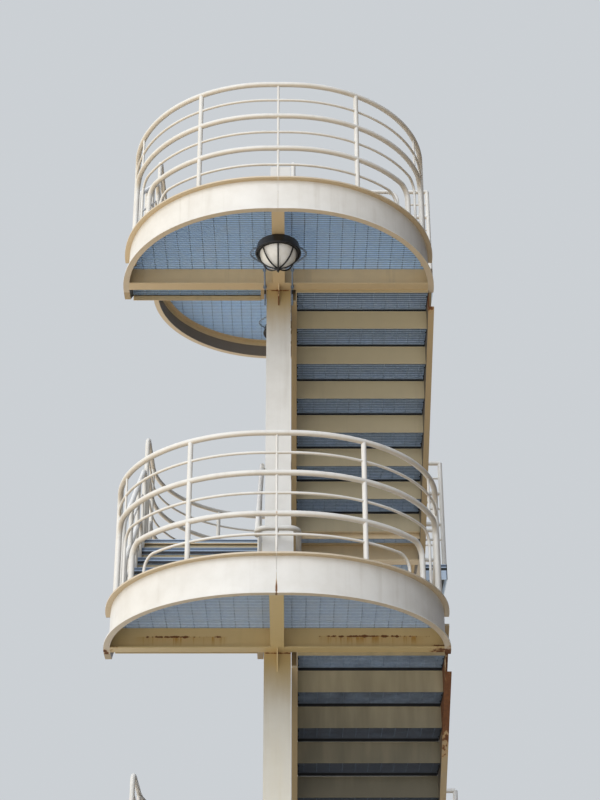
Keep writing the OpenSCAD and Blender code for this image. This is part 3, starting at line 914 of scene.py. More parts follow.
@dataclass(frozen=True)
class Zinc:
    """Weathered hot-dip galvanising, its colours tinted blue as a painted sky reflection.

    Args:
        name: The material's name.
        bright: The lighter crystals.
        dull: The darker crystals.
        worn: The chalky film where it has weathered.
        washes: Films of painted shade between two heights.
        between: How strong the painted shade up between the bars is.
        bar_gap_shade: Its colour.
        above: The dust on the faces that look up.
        apron_shadow: The colour of the painted shadow on the front edge that hangs below the bars.
    """

    name: str
    # The blue in these colours is a painted sky reflection
    bright: Colour = (0.72, 0.86, 1.00)
    dull: Colour = (0.62, 0.76, 0.94)
    worn: Colour = (0.70, 0.79, 0.88)
    washes: tuple[Wash, ...] = ()
    between: float = 0.80
    bar_gap_shade: Colour = (0.05, 0.085, 0.15)
    above: Colour = (0.36, 0.38, 0.40)
    apron_shadow: Colour = (0.012, 0.011, 0.010)

    def material(self) -> bpy.types.Material:
        """Builds the material.

        Returns:
            The material, on Object coordinates.
        """
        made, s, shader, point = blank(self.name)
        zinc = s.group(GALVANISE, {"Point": point})
        colour = s.blend(zinc["Spangle"], self.dull, self.bright)
        colour = s.film(zinc["Wear"], 0.6, colour, self.worn)
        facing = s.part(s.add("ShaderNodeNewGeometry", {}).outputs["Normal"])["Z"]
        colour = s.blend(s.ramp(facing, 0.3, 0.8), colour, self.above)
        for wash in self.washes:
            colour = wash.over(s, point, colour)
        drop = s.math("FLOORED_MODULO", s.part(point)["Z"], SIZES.rise)
        top, bottom = SIZES.rise, SIZES.rise - SIZES.deck_depth
        # Painted shade up between the bars
        bar_gap_shade = s.times(s.ramp(drop, bottom + 0.002, bottom + 0.013), s.ramp(drop, top - 0.003, top - 0.006))
        # Painted shadow on the front edge below the bars
        apron_shadow = s.times(s.ramp(drop, bottom - 0.030, bottom - 0.026), s.ramp(drop, bottom, bottom - 0.003))
        colour = s.film(apron_shadow, 0.97, s.film(bar_gap_shade, self.between, colour, self.bar_gap_shade), self.apron_shadow)
        s.feed(shader, {"Base Color": colour, "Metallic": 0.25, "Roughness": s.level(zinc["Spangle"], 1.0, 0.45, 0.62)})
        return made


@dataclass(frozen=True)
class LampBlack:
    """Satin black paint on cast metal, dusty on top."""

    name: str = "lamp_black"
    colour: Colour = (0.012, 0.012, 0.013)
    dust: Colour = (0.07, 0.06, 0.05)

    def material(self) -> bpy.types.Material:
        """Builds the material.

        Returns:
            The material, on Object coordinates.
        """
        made, s, shader, point = blank(self.name)
        dusty = s.ramp(s.noise(point, 30.0, 5.0), 0.5, 0.8)
        s.feed(shader, {
            "Base Color": s.film(dusty, 0.35, self.colour, self.dust),
            "Roughness": s.level(dusty, 1.0, 0.38, 0.7),
            "Normal": s.bump(s.noise(point, 160.0, 3.0), 0.2, 0.001),
        })
        return made


@dataclass(frozen=True)
class OpalGlass:
    """White opal glass, with a little dirt where the rain collects."""

    name: str = "opal_glass"
    colour: Colour = (0.97, 0.97, 0.95)
    dirt: Colour = (0.55, 0.50, 0.36)

    def material(self) -> bpy.types.Material:
        """Builds the material.

        Returns:
            The material, on Object coordinates.
        """
        made, s, shader, point = blank(self.name)
        dirty = s.ramp(s.noise(point, 9.0, 5.0), 0.5, 0.75)
        colour = s.film(dirty, 0.3, self.colour, self.dirt)
        s.feed(shader, {"Base Color": colour, "Roughness": 0.22, "Coat Weight": 0.4, "Coat Roughness": 0.08})
        return made


@dataclass
class Grating:
    """A pressed grating: upright bearing bars along x, twisted rods across them.

    Args:
        depth: The bearing bars' depth.
        bars: The mesh of its bars.
        rods: The mesh of its cross rods.
    """

    depth: float = SIZES.deck_depth
    bars: Maker = field(default_factory=Maker)
    rods: Maker = field(default_factory=Maker)

    @contextmanager
    def placed(self, matrix: Matrix) -> Iterator[None]:
        """Moves all that is laid inside the block."""
        with self.bars.placed(matrix), self.rods.placed(matrix):
            yield

    def lay(self, bars: list[Span], rods: list[Span]) -> None:
        """Adds bearing bars and cross rods, leaving out those that have no length.

        Args:
            bars: For each bar, its y and its two ends along x.
            rods: For each rod, its x and its two ends along y.
        """
        half, z = SIZES.bearing_bar / 2, -self.depth * SIZES.rod_level
        for y, x0, x1 in bars:
            if x1 - x0 > SIZES.bearing_bar:
                self.bars.block((x0, y - half, -self.depth), (x1, y + half, 0.0))
        for x, y0, y1 in rods:
            if y1 - y0 > SIZES.rod:
                self.rods.twisted_rod((x, y0, z), (x, y1, z), SIZES.rod)

    def panel(self, ends: Pair, edges: Pair) -> None:
        """Adds a square-ended panel with a banding bar at each end.

        Args:
            ends: Where it starts and ends along x.
            edges: Where it starts and ends along y.
        """
        (x0, x1), (y0, y1), bar = ends, edges, SIZES.bearing_bar
        self.lay([(y, x0, x1) for y in spread(y0 + bar / 2, y1 - bar / 2, SIZES.bearing_pitch)],
                 [(x, y0, y1) for x in spread(x0 + SIZES.rod, x1 - SIZES.rod, SIZES.rod_pitch)])
        for x in (x0, x1 - bar):
            self.bars.block((x, y0, -self.depth), (x + bar, y1, 0.0))


@dataclass
class LandingFloor:
    """The gratings that a landing's floor is laid with, cut to the curve of its web, and their angles.

    Args:
        landing: The landing.
        finish: The zinc on the bars.
        rod_finish: The zinc on the rods.
        angle_finish: The paint on the angles.
        joint: Where the panels meet, behind the far point.
    """

    landing: Landing
    finish: bpy.types.Material
    rod_finish: bpy.types.Material
    angle_finish: bpy.types.Material
    joint: float = 0.92

    @property
    def radius(self) -> float:
        """The plan radius inside the edge bar."""
        return self.landing.web_radius - SIZES.bearing_bar

    @property
    def closed(self) -> float:
        """Where the top landing's short side ends, along the well."""
        return SIZES.well_edge - SIZES.web

    def reach_x(self, y: float) -> float:
        """How far the floor reaches from the middle at y."""
        return SIZES.corner_shift + chord(self.radius, min(0.0, y))

    def reach_y(self, x: float) -> float:
        """How far out the floor reaches at x, as a y below 0."""
        return -chord(self.radius, max(0.0, x - SIZES.corner_shift))

    def curved_bar(self, maker: Maker, inner: float, heights: Pair, back: float) -> None:
        """A flat bar inside the web, round the curve and along the side.

        Args:
            maker: The mesh that it is added to.
            inner: The bar's inner radius.
            heights: Its bottom and its top.
            back: Where it stops.
        """
        outer, shift, (bottom, top) = self.landing.web_radius, SIZES.corner_shift, heights
        turn = math.pi / 2 if back >= 0.0 else math.acos(-back / outer)
        maker.arc_band(shift, (-outer, bottom), (-inner, top), turn)
        if back > 0.0:
            maker.block((shift + inner, 0.0, bottom), (shift + outer, back, top))

    def half(self, floor: Grating, back: float) -> None:
        """One half of the floor, on the +x side, with the banding bar round it.

        Args:
            floor: The grating that it is part of.
            back: Its back edge.
        """
        x0, half_bar = SIZES.panel_gap / 2, SIZES.bearing_bar / 2
        seam = -self.radius + self.joint
        rods = spread(x0 + SIZES.rod / 2, SIZES.corner_shift + self.radius - SIZES.rod, SIZES.rod_pitch)
        for y0, y1 in ((-self.radius + half_bar, seam), (seam + SIZES.joint_gap, back - half_bar)):
            if y1 > y0:
                floor.lay([(y, x0, self.reach_x(y)) for y in spread(y0, y1, SIZES.bearing_pitch)],
                          [(x, max(y0, self.reach_y(x)), y1) for x in rods])
        outer, bottom = self.landing.web_radius, -SIZES.deck_depth
        floor.bars.block((x0, -outer, bottom), (x0 + SIZES.bearing_bar, back, 0.0))
        floor.bars.block((x0, -outer, bottom), (SIZES.corner_shift, -self.radius, 0.0))
        self.curved_bar(floor.bars, self.radius, (bottom, 0.0), back)

    def ledger(self, maker: Maker, back: float) -> None:
        """The angle under one half's edge, welded to the web.

        Args:
            maker: The mesh that it is added to.
            back: Where it stops.
        """
        leg, wide, outer, top = SIZES.ledger_leg, SIZES.ledger, self.landing.web_radius, -SIZES.deck_depth
        self.curved_bar(maker, outer - wide, (top - leg, top), back)
        self.curved_bar(maker, outer - leg, (top - wide, top), back)

    def flight_side(self, floor: Grating, angles: Maker) -> None:
        """The strips of floor beside the steps of the flight up, with the angle under their end.

        Args:
            floor: The grating that they are part of.
            angles: The mesh of the angles.
        """
        leg, wide, gap, top = SIZES.ledger_leg, SIZES.ledger, SIZES.panel_gap, -SIZES.deck_depth
        x0, x1 = SIZES.inner_edge, self.landing.half_width
        back, foot = self.landing.back, self.landing.back + SIZES.going
        floor.panel((x0, x1), (back + gap, foot - SIZES.riser))
        y = foot - SIZES.riser - wide
        if self.landing.end is End.FRONT:
            y = foot + SIZES.foot_room
            floor.panel((x0, x1), (foot + gap, y + wide))
        angles.block((x0, y, top - wide), (x1, y + leg, top))
        angles.block((x0, y, top - leg), (x1, y + wide, top))

    def build(self) -> None:
        """Lays the floor in place of the landing's plain deck."""
        landing, floor, angles = self.landing, Grating(), Maker()
        back, gap = landing.back, SIZES.panel_gap
        with floor.placed(landing.place), angles.placed(landing.place):
            self.half(floor, back)
            self.ledger(angles, back - SIZES.beam_room)
            with floor.placed(MIRROR), angles.placed(MIRROR):
                if landing.is_top:
                    self.half(floor, self.closed)
                    self.ledger(angles, self.closed)
                    floor.panel((gap / 2, SIZES.inner_edge), (self.closed + gap, back))
                else:
                    self.half(floor, back)
                    self.ledger(angles, back - SIZES.beam_room)
                    self.flight_side(floor, angles)
        name, node = landing.name, (f"{landing.name}_deck",)
        floor.bars.piece(f"{name}_grating", self.finish, "deck_grating", node)
        floor.rods.piece(f"{name}_grating_rods", self.rod_finish, "deck_grating", node)
        angles.piece(f"{name}_edge_angles", self.angle_finish, "beam_paint")


@dataclass
class Bridge:
    """A rear landing's bridge: a grating in a rim of plates, cut to the curve of the fascia.

    Args:
        landing: The landing that it leaves.
        finish: The zinc on it.
        rod_finish: The zinc on its rods.
        depth: The rim's depth.
        side_room: Between the rim and the first bar's middle.
        start_room: Between the fascia and the bars' ends.
        first_rod: The first rod's place, from the middle of the fascia's curve.
        last_rod: The last rod's place, from the end.
        seat: The width of the flat under the bars' far ends, with the rim.
    """

    landing: Landing
    finish: bpy.types.Material
    rod_finish: bpy.types.Material
    depth: float = 0.150
    side_room: float = 0.003
    start_room: float = 0.004
    first_rod: float = 0.75
    last_rod: float = 0.05
    seat: float = 0.06

    def start(self, y: float) -> float:
        """Where the bridge starts along X at y, on the fascia's outer face."""
        return SIZES.corner_shift + chord(SIZES.corner_radius, max(0.0, y - self.landing.curve_y))

    def near(self, x: float, y0: float) -> float:
        """Where the bridge starts along Y at x, at y0 or on the fascia's outer face."""
        deep = chord(SIZES.corner_radius, x - SIZES.corner_shift)
        return max(y0, self.landing.curve_y + deep) if deep > 0.0 else y0

    def build(self) -> None:
        """Makes the bridge in place of its plain plate."""
        (_, y0, _), (end, y1, _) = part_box("bridges")
        plate, depth, floor = SIZES.web, self.depth, Grating()
        inner0, inner1, under = y0 + plate, y1 - plate, -SIZES.deck_depth
        with floor.placed(Matrix.Translation((0.0, 0.0, self.landing.level))):
            rim = floor.bars
            rim.block((self.start(y0), y0, -depth), (end, inner0, 0.0))
            rim.block((self.start(y1), inner1, -depth), (end, y1, 0.0))
            rim.block((end - plate, y0, -depth), (end, y1, 0.0))
            rim.block((end - self.seat, inner0, under - SIZES.ledger_leg), (end - plate, inner1, under))
            bars = spread(inner0 + self.side_room, inner1 - self.side_room, SIZES.bearing_pitch)
            rods = spread(SIZES.corner_shift + self.first_rod, end - self.last_rod, SIZES.rod_pitch)
            floor.lay([(y, self.start(y) + self.start_room, end - plate) for y in bars],
                      [(x, self.near(x, inner0), inner1) for x in rods])
        name, node = self.landing.name, ("bridges",)
        floor.bars.piece(f"{name}_bridge_grating", self.finish, "bridge_grating", node)
        floor.rods.piece(f"{name}_bridge_rods", self.rod_finish, "bridge_grating", node)


@dataclass
class FlightSteps:
    """The grating treads and the riser plates of one flight.

    Args:
        flight: The flight.
        finish: The zinc on the treads.
        rod_finish: The zinc on their cross rods.
        paint: The finish of the riser plates.
        plate_drop: How far the end plates hang below the bars.
        lip: The nosing's thickness.
        front_room: Between the nosing's front and the last bar's middle.
        side_room: Between the tread's ends and the first and last rods.
        bolt_rooms: Between the tread's back and front and its bolts.
        bolt_level: The bolts' depth below the tread's top.
        bolt_head: The head's thickness and radius.
        hem: The radius of the hem on a riser's top.
    """

    flight: Flight
    finish: bpy.types.Material
    rod_finish: bpy.types.Material
    paint: bpy.types.Material
    plate_drop: float = 0.018
    lip: float = 0.004
    front_room: float = 0.018
    side_room: float = 0.05
    bolt_rooms: Pair = (0.055, 0.065)
    bolt_level: float = 0.033
    bolt_head: Pair = (0.007, 0.009)
    hem: float = 0.005

    def tread(self, treads: Grating, bolts: Maker, k: int) -> None:
        """One tread: bars, rods, end plates with their bolts, and a nosing.

        Args:
            treads: The grating of the treads.
            bolts: The mesh of the bolts.
            k: Which tread, counted from the top.
        """
        plate, lip, foot = SIZES.riser, self.lip, -SIZES.nosing_depth
        y0, y1 = SIZES.going * (k - 1) + SIZES.riser, SIZES.going * k + SIZES.nosing
        x0, x1 = SIZES.inner_edge, self.flight.outer
        back = y1 - SIZES.nosing_width
        drop = Matrix.Translation((0.0, 0.0, -SIZES.rise * k))
        with treads.placed(drop), bolts.placed(drop):
            bars = spread(y0 + SIZES.bearing_bar / 2, y1 - self.front_room, SIZES.bearing_pitch)
            rods = spread(x0 + self.side_room, x1 - self.side_room, SIZES.rod_pitch)
            treads.lay([(y, x0 + plate, x1 - plate) for y in bars], [(x, y0, y1 - SIZES.bearing_bar) for x in rods])
            for x in (x0, x1 - plate):
                treads.bars.block((x, y0, -treads.depth - self.plate_drop), (x + plate, y1 - lip, 0.0))
            treads.bars.profile([(y1, foot), (y1, 0.0), (back, 0.0), (back, -lip), (y1 - lip, -lip), (y1 - lip, foot)],
                                x0 + plate, x1 - plate)
            thick, radius = self.bolt_head
            for x, out in ((x0 + plate, thick), (x1 - plate, -thick)):
                for y in (y0 + self.bolt_rooms[0], y1 - self.bolt_rooms[1]):
                    bolts.round_bar((x, y, -self.bolt_level), (x + out, y, -self.bolt_level), radius, 6)

    def riser(self, risers: Maker, k: int) -> None:
        """One riser plate, with a rolled hem along its top.

        Args:
            risers: The mesh that it is added to.
            k: Which riser, counted from the top.
        """
        y, x0, x1 = SIZES.going * (k - 1), SIZES.inner_edge, self.flight.outer
        on_ground = k == SIZES.risers and self.flight.on_ground
        over = SIZES.deck_depth if k == 1 else SIZES.tread_depth
        top = -SIZES.rise * (k - 1) - over - SIZES.riser_gap
        foot = -SIZES.rise * k - (0.0 if on_ground else SIZES.tread_depth)
        risers.block((x0, y, foot), (x1, y + SIZES.riser, top))
        risers.round_bar((x0, y + 0.001, top - 0.003), (x1, y + 0.001, top - 0.003), self.hem, 8)

    def build(self) -> None:
        """Makes the treads, the risers and the bolts of the flight."""
        name, place = self.flight.name, self.flight.place
        treads, risers, bolts = Grating(SIZES.tread_depth), Maker(), Maker()
        with treads.placed(place), risers.placed(place), bolts.placed(place):
            for k in range(1, SIZES.risers):
                self.tread(treads, bolts, k)
            for k in range(1, SIZES.risers + 1):
                self.riser(risers, k)
        node = (f"{name}_steps",)
        treads.bars.piece(f"{name}_treads", self.finish, "step_grating", node)
        treads.rods.piece(f"{name}_tread_rods", self.rod_finish, "step_grating")
        risers.piece(f"{name}_risers", self.paint, "riser_paint", node)
        bolts.piece(f"{name}_tread_bolts", self.finish, "step_grating")


@dataclass
class Anchors:
    """The anchor bolts of a column's base plate: washer, nut and thread end.

    Args:
        column: The column's node.
        finish: The zinc on them.
        pitch: The distance between the bolts.
        plate: The base plate's thickness.
        washer: The washer's thickness, radius and sides.
        nut: The same for the nut.
        stud: The same for the thread end above it.
    """

    column: str
    finish: bpy.types.Material
    pitch: float = 0.360
    plate: float = 0.025
    washer: tuple[float, float, int] = (0.003, 0.019, 20)
    nut: tuple[float, float, int] = (0.016, 0.0165, 6)
    stud: tuple[float, float, int] = (0.019, 0.010, 12)

    def build(self) -> None:
        """Makes the four bolts of one base plate."""
        low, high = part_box(self.column)
        middle, half, maker = (low + high) / 2, self.pitch / 2, Maker()
        for x in (middle.x - half, middle.x + half):
            for y in (middle.y - half, middle.y + half):
                z = self.plate
                for thick, radius, sides in (self.washer, self.nut, self.stud):
                    maker.round_bar((x, y, z), (x, y, z + thick), radius, sides)
                    z += thick
        maker.piece(f"{self.column}_anchors", self.finish, "deck_grating")


@dataclass
class Lamp:
    """A landing's lamp: its canopy, the cage round its glass and the conduits to the column.

    Args:
        landing: The landing that it hangs under.
        column: The node of the column that its conduits run to.
        black: The finish of the canopy and the cage.
        pipe: The finish of the conduits.
        glass: The finish of the glass.
        canopy: The canopy's height.
        width: The canopy's radius.
        roll: The radius, the height and the bead of its rolled rim.
        ribs: How many ribs the cage has.
        rib: A rib's radius.
        rim: The radius of the cage where it meets the canopy.
        drop: The cage's depth.
        glass_rim: The radius of the glass.
        glass_drop: The depth of the glass.
        conduit: A conduit's radius.
        conduit_level: The conduits' height over the canopy's rim.
        clips: Their clips' places, from the lamp's middle and from the bend at the column.
        apart: The conduits' distance from the middle, at the column.
        column_room: Between the conduits' bend and the column's middle.
    """

    landing: Landing
    column: str
    black: bpy.types.Material
    pipe: bpy.types.Material
    glass: bpy.types.Material
    canopy: float = 0.080
    width: float = 0.180
    roll: Point = (0.176, -0.001, 0.007)
    ribs: int = 8
    rib: float = 0.0062
    rim: float = 0.168
    drop: float = 0.143
    glass_rim: float = 0.146
    glass_drop: float = 0.128
    conduit: float = 0.0075
    conduit_level: float = 0.064
    clips: Pair = (0.34, 0.06)
    apart: float = 0.113
    column_room: float = 0.112

    @property
    def place(self) -> Matrix:
        """The middle of the canopy's rim, with +y towards the column."""
        low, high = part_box("lamp_cages")
        y = low.y + self.width if self.landing.end is End.FRONT else high.y - self.width
        z = self.landing.level + SIZES.beam_bottom - self.canopy
        return stand((0.0, y, z), self.landing.end.value)

    def cage(self, maker: Maker) -> None:
        """The canopy, the rolled rim, the ribs and the boss that holds them.

        Args:
            maker: The mesh that they are added to.
        """
        top = self.canopy
        maker.lathe([(0.0, top), (0.156, top), (0.166, top - 0.006), (0.174, 0.040), (0.179, 0.014), (0.181, 0.002),
                     (0.176, -0.005), (0.168, -0.004), (0.160, 0.004), (0.0, 0.006)])
        radius, level, bead = self.roll
        maker.lathe([(radius + bead * math.cos(t), level + bead * math.sin(t))
                     for t in spread(0.0, math.tau, math.tau / 8)])
        curve = (self.rim**2 + self.drop**2) / (2 * self.drop)
        half, rise = math.acos((curve - self.drop) / curve), curve - self.drop
        angles = [half * t for t in spread(0.06, 1.0, 0.08)]
        for i in range(self.ribs):
            with maker.placed(Matrix.Rotation(math.tau * i / self.ribs, 4, "Z")):
                maker.tube([(0.0, -curve * math.sin(a), rise - curve * math.cos(a)) for a in angles], self.rib)
                maker.round_bar((0.0, -0.164, 0.022), (0.0, -0.173, 0.022), 0.010, 6)
        maker.lathe([(0.0, -0.140), (0.020, -0.143), (0.022, -0.151), (0.012, -0.158), (0.009, -0.170), (0.0, -0.173)],
                    steps=20)

    def conduits(self, maker: Maker) -> None:
        """The two thin pipes from the canopy to the column, with their clips.

        Args:
            maker: The mesh that they are added to.
        """
        low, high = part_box(self.column)
        reach = abs((low.y + high.y) / 2 - self.place.translation.y) - self.column_room
        x, z = self.apart, self.conduit_level
        route = [(0.160, 0.0, z), (0.205, 0.045, z), (0.222, 0.085, z), (0.222, 0.125, z), (0.200, 0.165, z),
                 (0.145, 0.225, z), (0.122, 0.255, z), (x, 0.290, z), (x, reach - 0.040, z),
                 (x, reach - 0.014, z - 0.010), (x, reach, z - 0.034), (x, reach, z - 0.140)]
        for side in (-1.0, 1.0):
            maker.tube([(side * a, b, c) for a, b, c in route], self.conduit, 10)
            for y in (self.clips[0], reach - self.clips[1]):
                maker.block((side * 0.100, y - 0.008, z - 0.010), (side * 0.127, y + 0.008, z + 0.008))

    def build(self) -> None:
        """Makes the cage, the conduits and the glass."""
        cage, pipes, glass = Maker(), Maker(), Maker()
        with cage.placed(self.place), pipes.placed(self.place), glass.placed(self.place):
            self.cage(cage)
            self.conduits(pipes)
            turns = [math.radians(90.0 * t) for t in spread(0.0, 1.0, 0.07)]
            dome = [(self.glass_rim * math.cos(t), -self.glass_drop * math.sin(t)) for t in turns]
            glass.lathe([(0.0, 0.0), *dome], 64)
        name = self.landing.name
        cage.piece(f"{name}_lamp_guard", self.black, "lamp_black", ("lamp_cages",))
        pipes.piece(f"{name}_lamp_conduits", self.pipe, "lamp_black")
        glass.piece(f"{name}_lamp_glass", self.glass, "lamp_glass", ("lamp_glasses",))


class Studio:
    """The camera at the photograph's place and angle, a pale floor and soft light."""

    width = 600
    height = 800
    focal_px = 1681.8
    eye: Point = (0.0869, -11.963, -1.3266)
    pitch_deg = 28.41
    yaw_deg = 0.42
    roll_deg = -0.19
    sensor = 36.0
    floor_radius = 5.4
    floor_y = 1.3
    floor_colour: Colour = (0.62, 0.62, 0.61)
    low_light: Colour = (1.28, 1.12, 0.88)
    high_light: Colour = (1.12, 1.22, 1.40)
    left_light: Colour = (0.92, 0.84, 0.72)
    right_light: Colour = (0.06, 0.048, 0.04)
    backdrop: Colour = (0.60, 0.63, 0.66)
    sun_toward: Point = (0.36, 0.83, -0.60)
    sun_colour: Colour = (1.0, 0.99, 0.97)
    sun_energy = 0.90
    sun_width_deg = 40.0

    def camera(self) -> None:
        """Sets the camera where the photograph was taken from."""
        data = bpy.data.cameras.new("camera")
        data.sensor_width = self.sensor
        data.lens = self.focal_px / max(self.width, self.height) * self.sensor
        made = put("camera", data)
        tilt = Matrix.Rotation(math.radians(90.0 + self.pitch_deg), 4, "X")
        roll = Matrix.Rotation(math.radians(self.roll_deg), 4, "Z")
        made.matrix_world = stand(self.eye, -self.yaw_deg) @ tilt @ roll
        bpy.context.scene.camera = made

    def floor(self) -> None:
        """Lays a pale round floor that stays behind the camera's lower edge."""
        maker = bmesh.new()
        bmesh.ops.create_circle(maker, cap_ends=True, segments=96, radius=self.floor_radius,
                                matrix=Matrix.Translation((0.0, self.floor_y, 0.0)))
        mesh = bpy.data.meshes.new("floor")
        maker.to_mesh(mesh)
        maker.free()
        paint = bpy.data.materials.new("floor")
        paint.use_nodes = True
        shader = paint.node_tree.nodes["Principled BSDF"]
        Shading(paint.node_tree).feed(shader, {"Base Color": (*self.floor_colour, 1.0), "Roughness": 0.9})
        mesh.materials.append(paint)
        put("floor", mesh)

    def world(self) -> None:
        """Soft light from all round, dim at the right, with a plain pale background behind the stair."""
        world = bpy.data.worlds.new("studio")
        bpy.context.scene.world = world
        world.use_nodes = True
        s = Shading(world.node_tree)
        toward = s.part(s.add("ShaderNodeTexCoord", {}).outputs["Generated"])
        light = s.blend(s.ramp(toward["Z"], -0.55, 0.10), self.low_light, self.high_light)
        light = s.blend(s.ramp(toward["X"], -0.25, -0.85), light, self.left_light)
        light = s.blend(s.ramp(toward["X"], -0.08, 0.62), light, self.right_light)
        path = s.add("ShaderNodeLightPath", {})
        seen = s.math("MAXIMUM", path.outputs["Is Camera Ray"], path.outputs["Is Transmission Ray"])
        background = world.node_tree.nodes["Background"]
        s.feed(background, {"Color": s.blend(seen, light, self.backdrop), "Strength": 1.0})

    def lamps(self) -> None:
        """One broad soft light from the front left, high up."""
        data = bpy.data.lights.new("key", "SUN")
        data.energy = self.sun_energy
        data.angle = math.radians(self.sun_width_deg)
        data.color = self.sun_colour
        made = put("key", data)
        made.rotation_mode = "QUATERNION"
        made.rotation_quaternion = Vector(self.sun_toward).to_track_quat("-Z", "Y")

    def build(self) -> None:
        """Sets up the whole studio."""
        bpy.context.scene.view_settings.view_transform = "Standard"
        self.camera()
        self.floor()
        self.world()
        self.lamps()


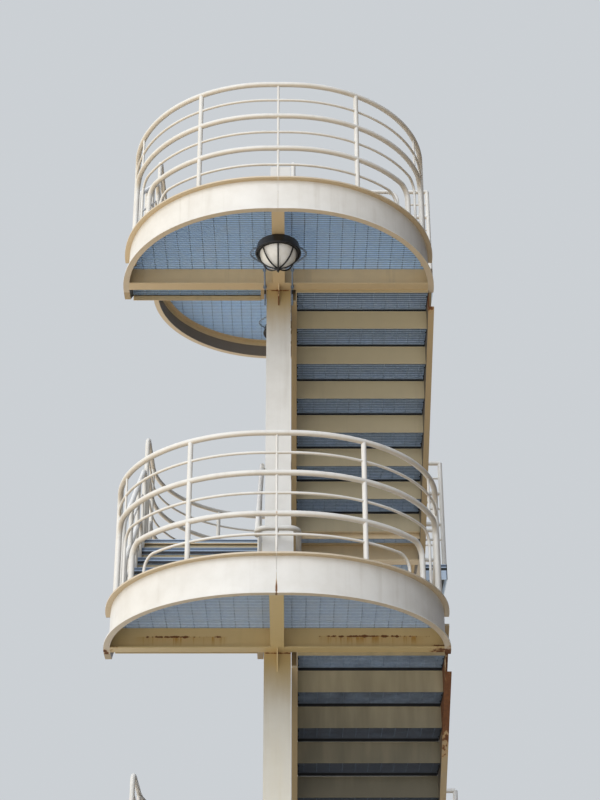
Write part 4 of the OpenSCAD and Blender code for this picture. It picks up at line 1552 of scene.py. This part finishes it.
class Stair:
    """The whole stair: its finishes, and what is built on its frame."""

    cream: Colour = (0.84, 0.83, 0.79)
    # Painted warm shade and yellowing for faces that look down
    underside_shade_and_yellowing: Colour = (0.60, 0.47, 0.30)
    ochre: Colour = (0.49, 0.34, 0.10)
    # Painted shade for the fascia's inward faces
    inward_painted_shade: Colour = (0.085, 0.048, 0.022)
    lip_dirt: Colour = (0.58, 0.44, 0.25)

    def __init__(self) -> None:
        """Builds the finishes."""
        lower, upper = LANDINGS[0].level, LANDINGS[1].level
        # Each paint's second colour and its share are painted warm shade and yellowing on faces that look down
        self.guard = OldPaint(
            "guard_paint", self.cream, self.underside_shade_and_yellowing, 0.55, dirt_share=0.20, rust_share=0.02,
            stains=(Stain((0.0, -1.21, lower + 0.418), (0.014, 0.03, 0.02), 0.3),),
        ).material()
        self.fascia = OldPaint(
            "fascia_paint", self.cream, self.underside_shade_and_yellowing, 0.85, dirt_share=0.20, rust_share=0.05,
            stains=(Stain((0.0, -1.25, lower - 0.19), (0.010, 0.05, 0.12), 0.4),
                    Stain((1.26, -0.05, lower - 0.20), (0.06, 0.20, 0.10), 0.8),
                    Stain((-1.27, -0.05, lower - 0.20), (0.03, 0.15, 0.05), 0.8)),
            washes=tuple(Wash(n.level + 0.080, n.level + 0.086, n.level + 0.2, self.lip_dirt, 0.6) for n in LANDINGS),
            # Painted shade on the fascia's inward faces
            shade=Shade(self.inward_painted_shade, 0.80, (LANDINGS[0].curve_y, LANDINGS[2].curve_y)),
        ).material()
        self.front_column = self.column_paint("front_column_paint", (lower, upper))
        self.rear_column = self.column_paint("rear_column_paint", tuple(n.level for n in LANDINGS[2:]))
        self.beam = OldPaint(
            "beam_paint", (0.76, 0.61, 0.38), (0.66, 0.50, 0.29), 0.8, dirt_share=0.3, rust_share=0.12,
            stains=(Stain((-0.72, -0.16, lower - 0.105), (0.26, 0.05, 0.009), 1.7),
                    Stain((0.68, -0.16, lower - 0.100), (0.30, 0.05, 0.009), 1.7),
                    Stain((1.22, -0.15, lower - 0.19), (0.10, 0.08, 0.03), 0.9),
                    Stain((-1.22, -0.15, lower - 0.19), (0.06, 0.08, 0.02), 0.9),
                    Stain((0.0, -0.10, upper - 0.30), (0.05, 0.10, 0.10), 0.9)),
            drips=(Drip((-0.72, 0.0, lower - 0.105), (0.36, 1.0, 0.09)),
                   Drip((0.70, 0.0, lower - 0.100), (0.42, 1.0, 0.09))),
            washes=(Wash(lower - 0.5, lower - 0.3, lower + 0.1, (0.66, 0.48, 0.17), 0.55),),
        ).material()
        self.stringer = OldPaint(
            "stringer_paint", (0.54, 0.46, 0.32), (0.44, 0.31, 0.15), 0.85, dirt_share=0.4, rust_share=0.12,
            stains=(Stain((1.27, 0.20, lower - 0.45), (0.10, 0.55, 0.45), 0.9),
                    Stain((1.27, -0.10, upper - 0.25), (0.06, 0.20, 0.16), 0.9)),
            # Painted shade on the stringers' inward faces, with some rust darkening
            shade=Shade((0.06, 0.045, 0.035), 0.85),
        ).material()
        self.riser = OldPaint(
            "riser_paint", (0.54, 0.46, 0.29), (0.50, 0.40, 0.24), 0.6, dirt_share=0.3, rust_share=0.05,
            # Painted shade: the risers darken below the lower landing
            washes=(Wash(lower + 0.1, lower - 1.0, lower + 0.5, (0.10, 0.085, 0.045), 0.88),),
        ).material()
        # Strong painted shade between the bars
        self.zinc = Zinc("zinc", between=0.90).material()
        # A lit copy of the zinc for the upper landings: bluer, with less painted shade between the bars
        self.upper_zinc_painted_light = Zinc("upper_zinc_painted_light", (0.60, 0.80, 1.00), (0.50, 0.70, 0.96), (0.60, 0.74, 0.90),
                               between=0.55).material()
        # A darker copy of the zinc for the treads: painted shade
        self.tread_zinc_painted_shade = Zinc(
            "tread_zinc_painted_shade", (0.50, 0.62, 0.78), (0.38, 0.50, 0.66), (0.44, 0.54, 0.64),
            # Painted shade: the treads darken below the lower landing
            washes=(Wash(lower + 0.1, lower - 0.7, lower + 0.5, (0.06, 0.06, 0.065), 0.88),),
        ).material()
        # A darker copy of the zinc: painted shade on the cross rods; the lamp conduits use it too
        self.rod_zinc_painted_shade = Zinc("rod_zinc_painted_shade", (0.27, 0.35, 0.48), (0.21, 0.28, 0.39), (0.26, 0.32, 0.40)).material()
        self.black = LampBlack().material()
        self.glass = OpalGlass().material()

    def column_paint(self, name: str, levels: tuple[float, ...]) -> bpy.types.Material:
        """A column's paint, ochre under each landing, with painted shade and yellowing on faces that look down, and
        rusty along its welds.

        Args:
            name: The material's name.
            levels: The heights of the landings that it carries.

        Returns:
            The material.
        """
        weld, lowest = SIZES.beam_bottom - 0.007, levels[0]
        return OldPaint(
            name, (0.80, 0.79, 0.75), self.underside_shade_and_yellowing, 0.6, dirt_share=0.25, rust_share=0.03,
            stains=tuple(Stain((0.0, -0.10, z + weld), (0.13, 0.03, 0.007), 1.3) for z in levels),
            washes=(Wash(3.0 * lowest, -lowest, lowest, (0.72, 0.63, 0.40), 0.60),
                    *(Wash(z - 0.72, z - 0.22, z - 0.02, self.ochre, 0.85) for z in levels)),
        ).material()

    def dress(self) -> None:
        """Gives each node of the frame its finish, by the end of its name."""
        endings = {
            "front_column": self.front_column, "rear_column": self.rear_column, "_fascia": self.fascia,
            "_beams": self.beam, "_guard": self.guard, "_guards": self.guard, "_stringers": self.stringer,
            "bridges": self.zinc, "_deck": self.zinc, "_steps": self.zinc,
            "lamp_cages": self.black, "lamp_glasses": self.glass,
        }
        for name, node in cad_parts.items():
            finish = next(m for ending, m in endings.items() if name.endswith(ending))
            node.data.materials.clear()
            node.data.materials.append(finish)

    def build(self) -> None:
        """Builds every piece on the frame."""
        self.dress()
        for landing in LANDINGS:
            zinc = self.upper_zinc_painted_light if landing.level >= LANDINGS[1].level else self.zinc
            LandingFloor(landing, zinc, self.rod_zinc_painted_shade, self.beam).build()
            if landing.end is End.REAR:
                Bridge(landing, self.zinc, self.rod_zinc_painted_shade).build()
        for flight in FLIGHTS:
            FlightSteps(flight, self.tread_zinc_painted_shade, self.rod_zinc_painted_shade, self.riser).build()
        for column in ("front_column", "rear_column"):
            Anchors(column, self.zinc).build()
        for landing, column in ((LANDINGS[1], "front_column"), (LANDINGS[4], "rear_column")):
            Lamp(landing, column, self.black, self.rod_zinc_painted_shade, self.glass).build()


def main() -> None:
    """Builds the studio and the stair."""
    logging.basicConfig(level=logging.INFO, format="%(name)s %(message)s")
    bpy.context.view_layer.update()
    Studio().build()
    Stair().build()


if __name__ == "__main__":
    main()
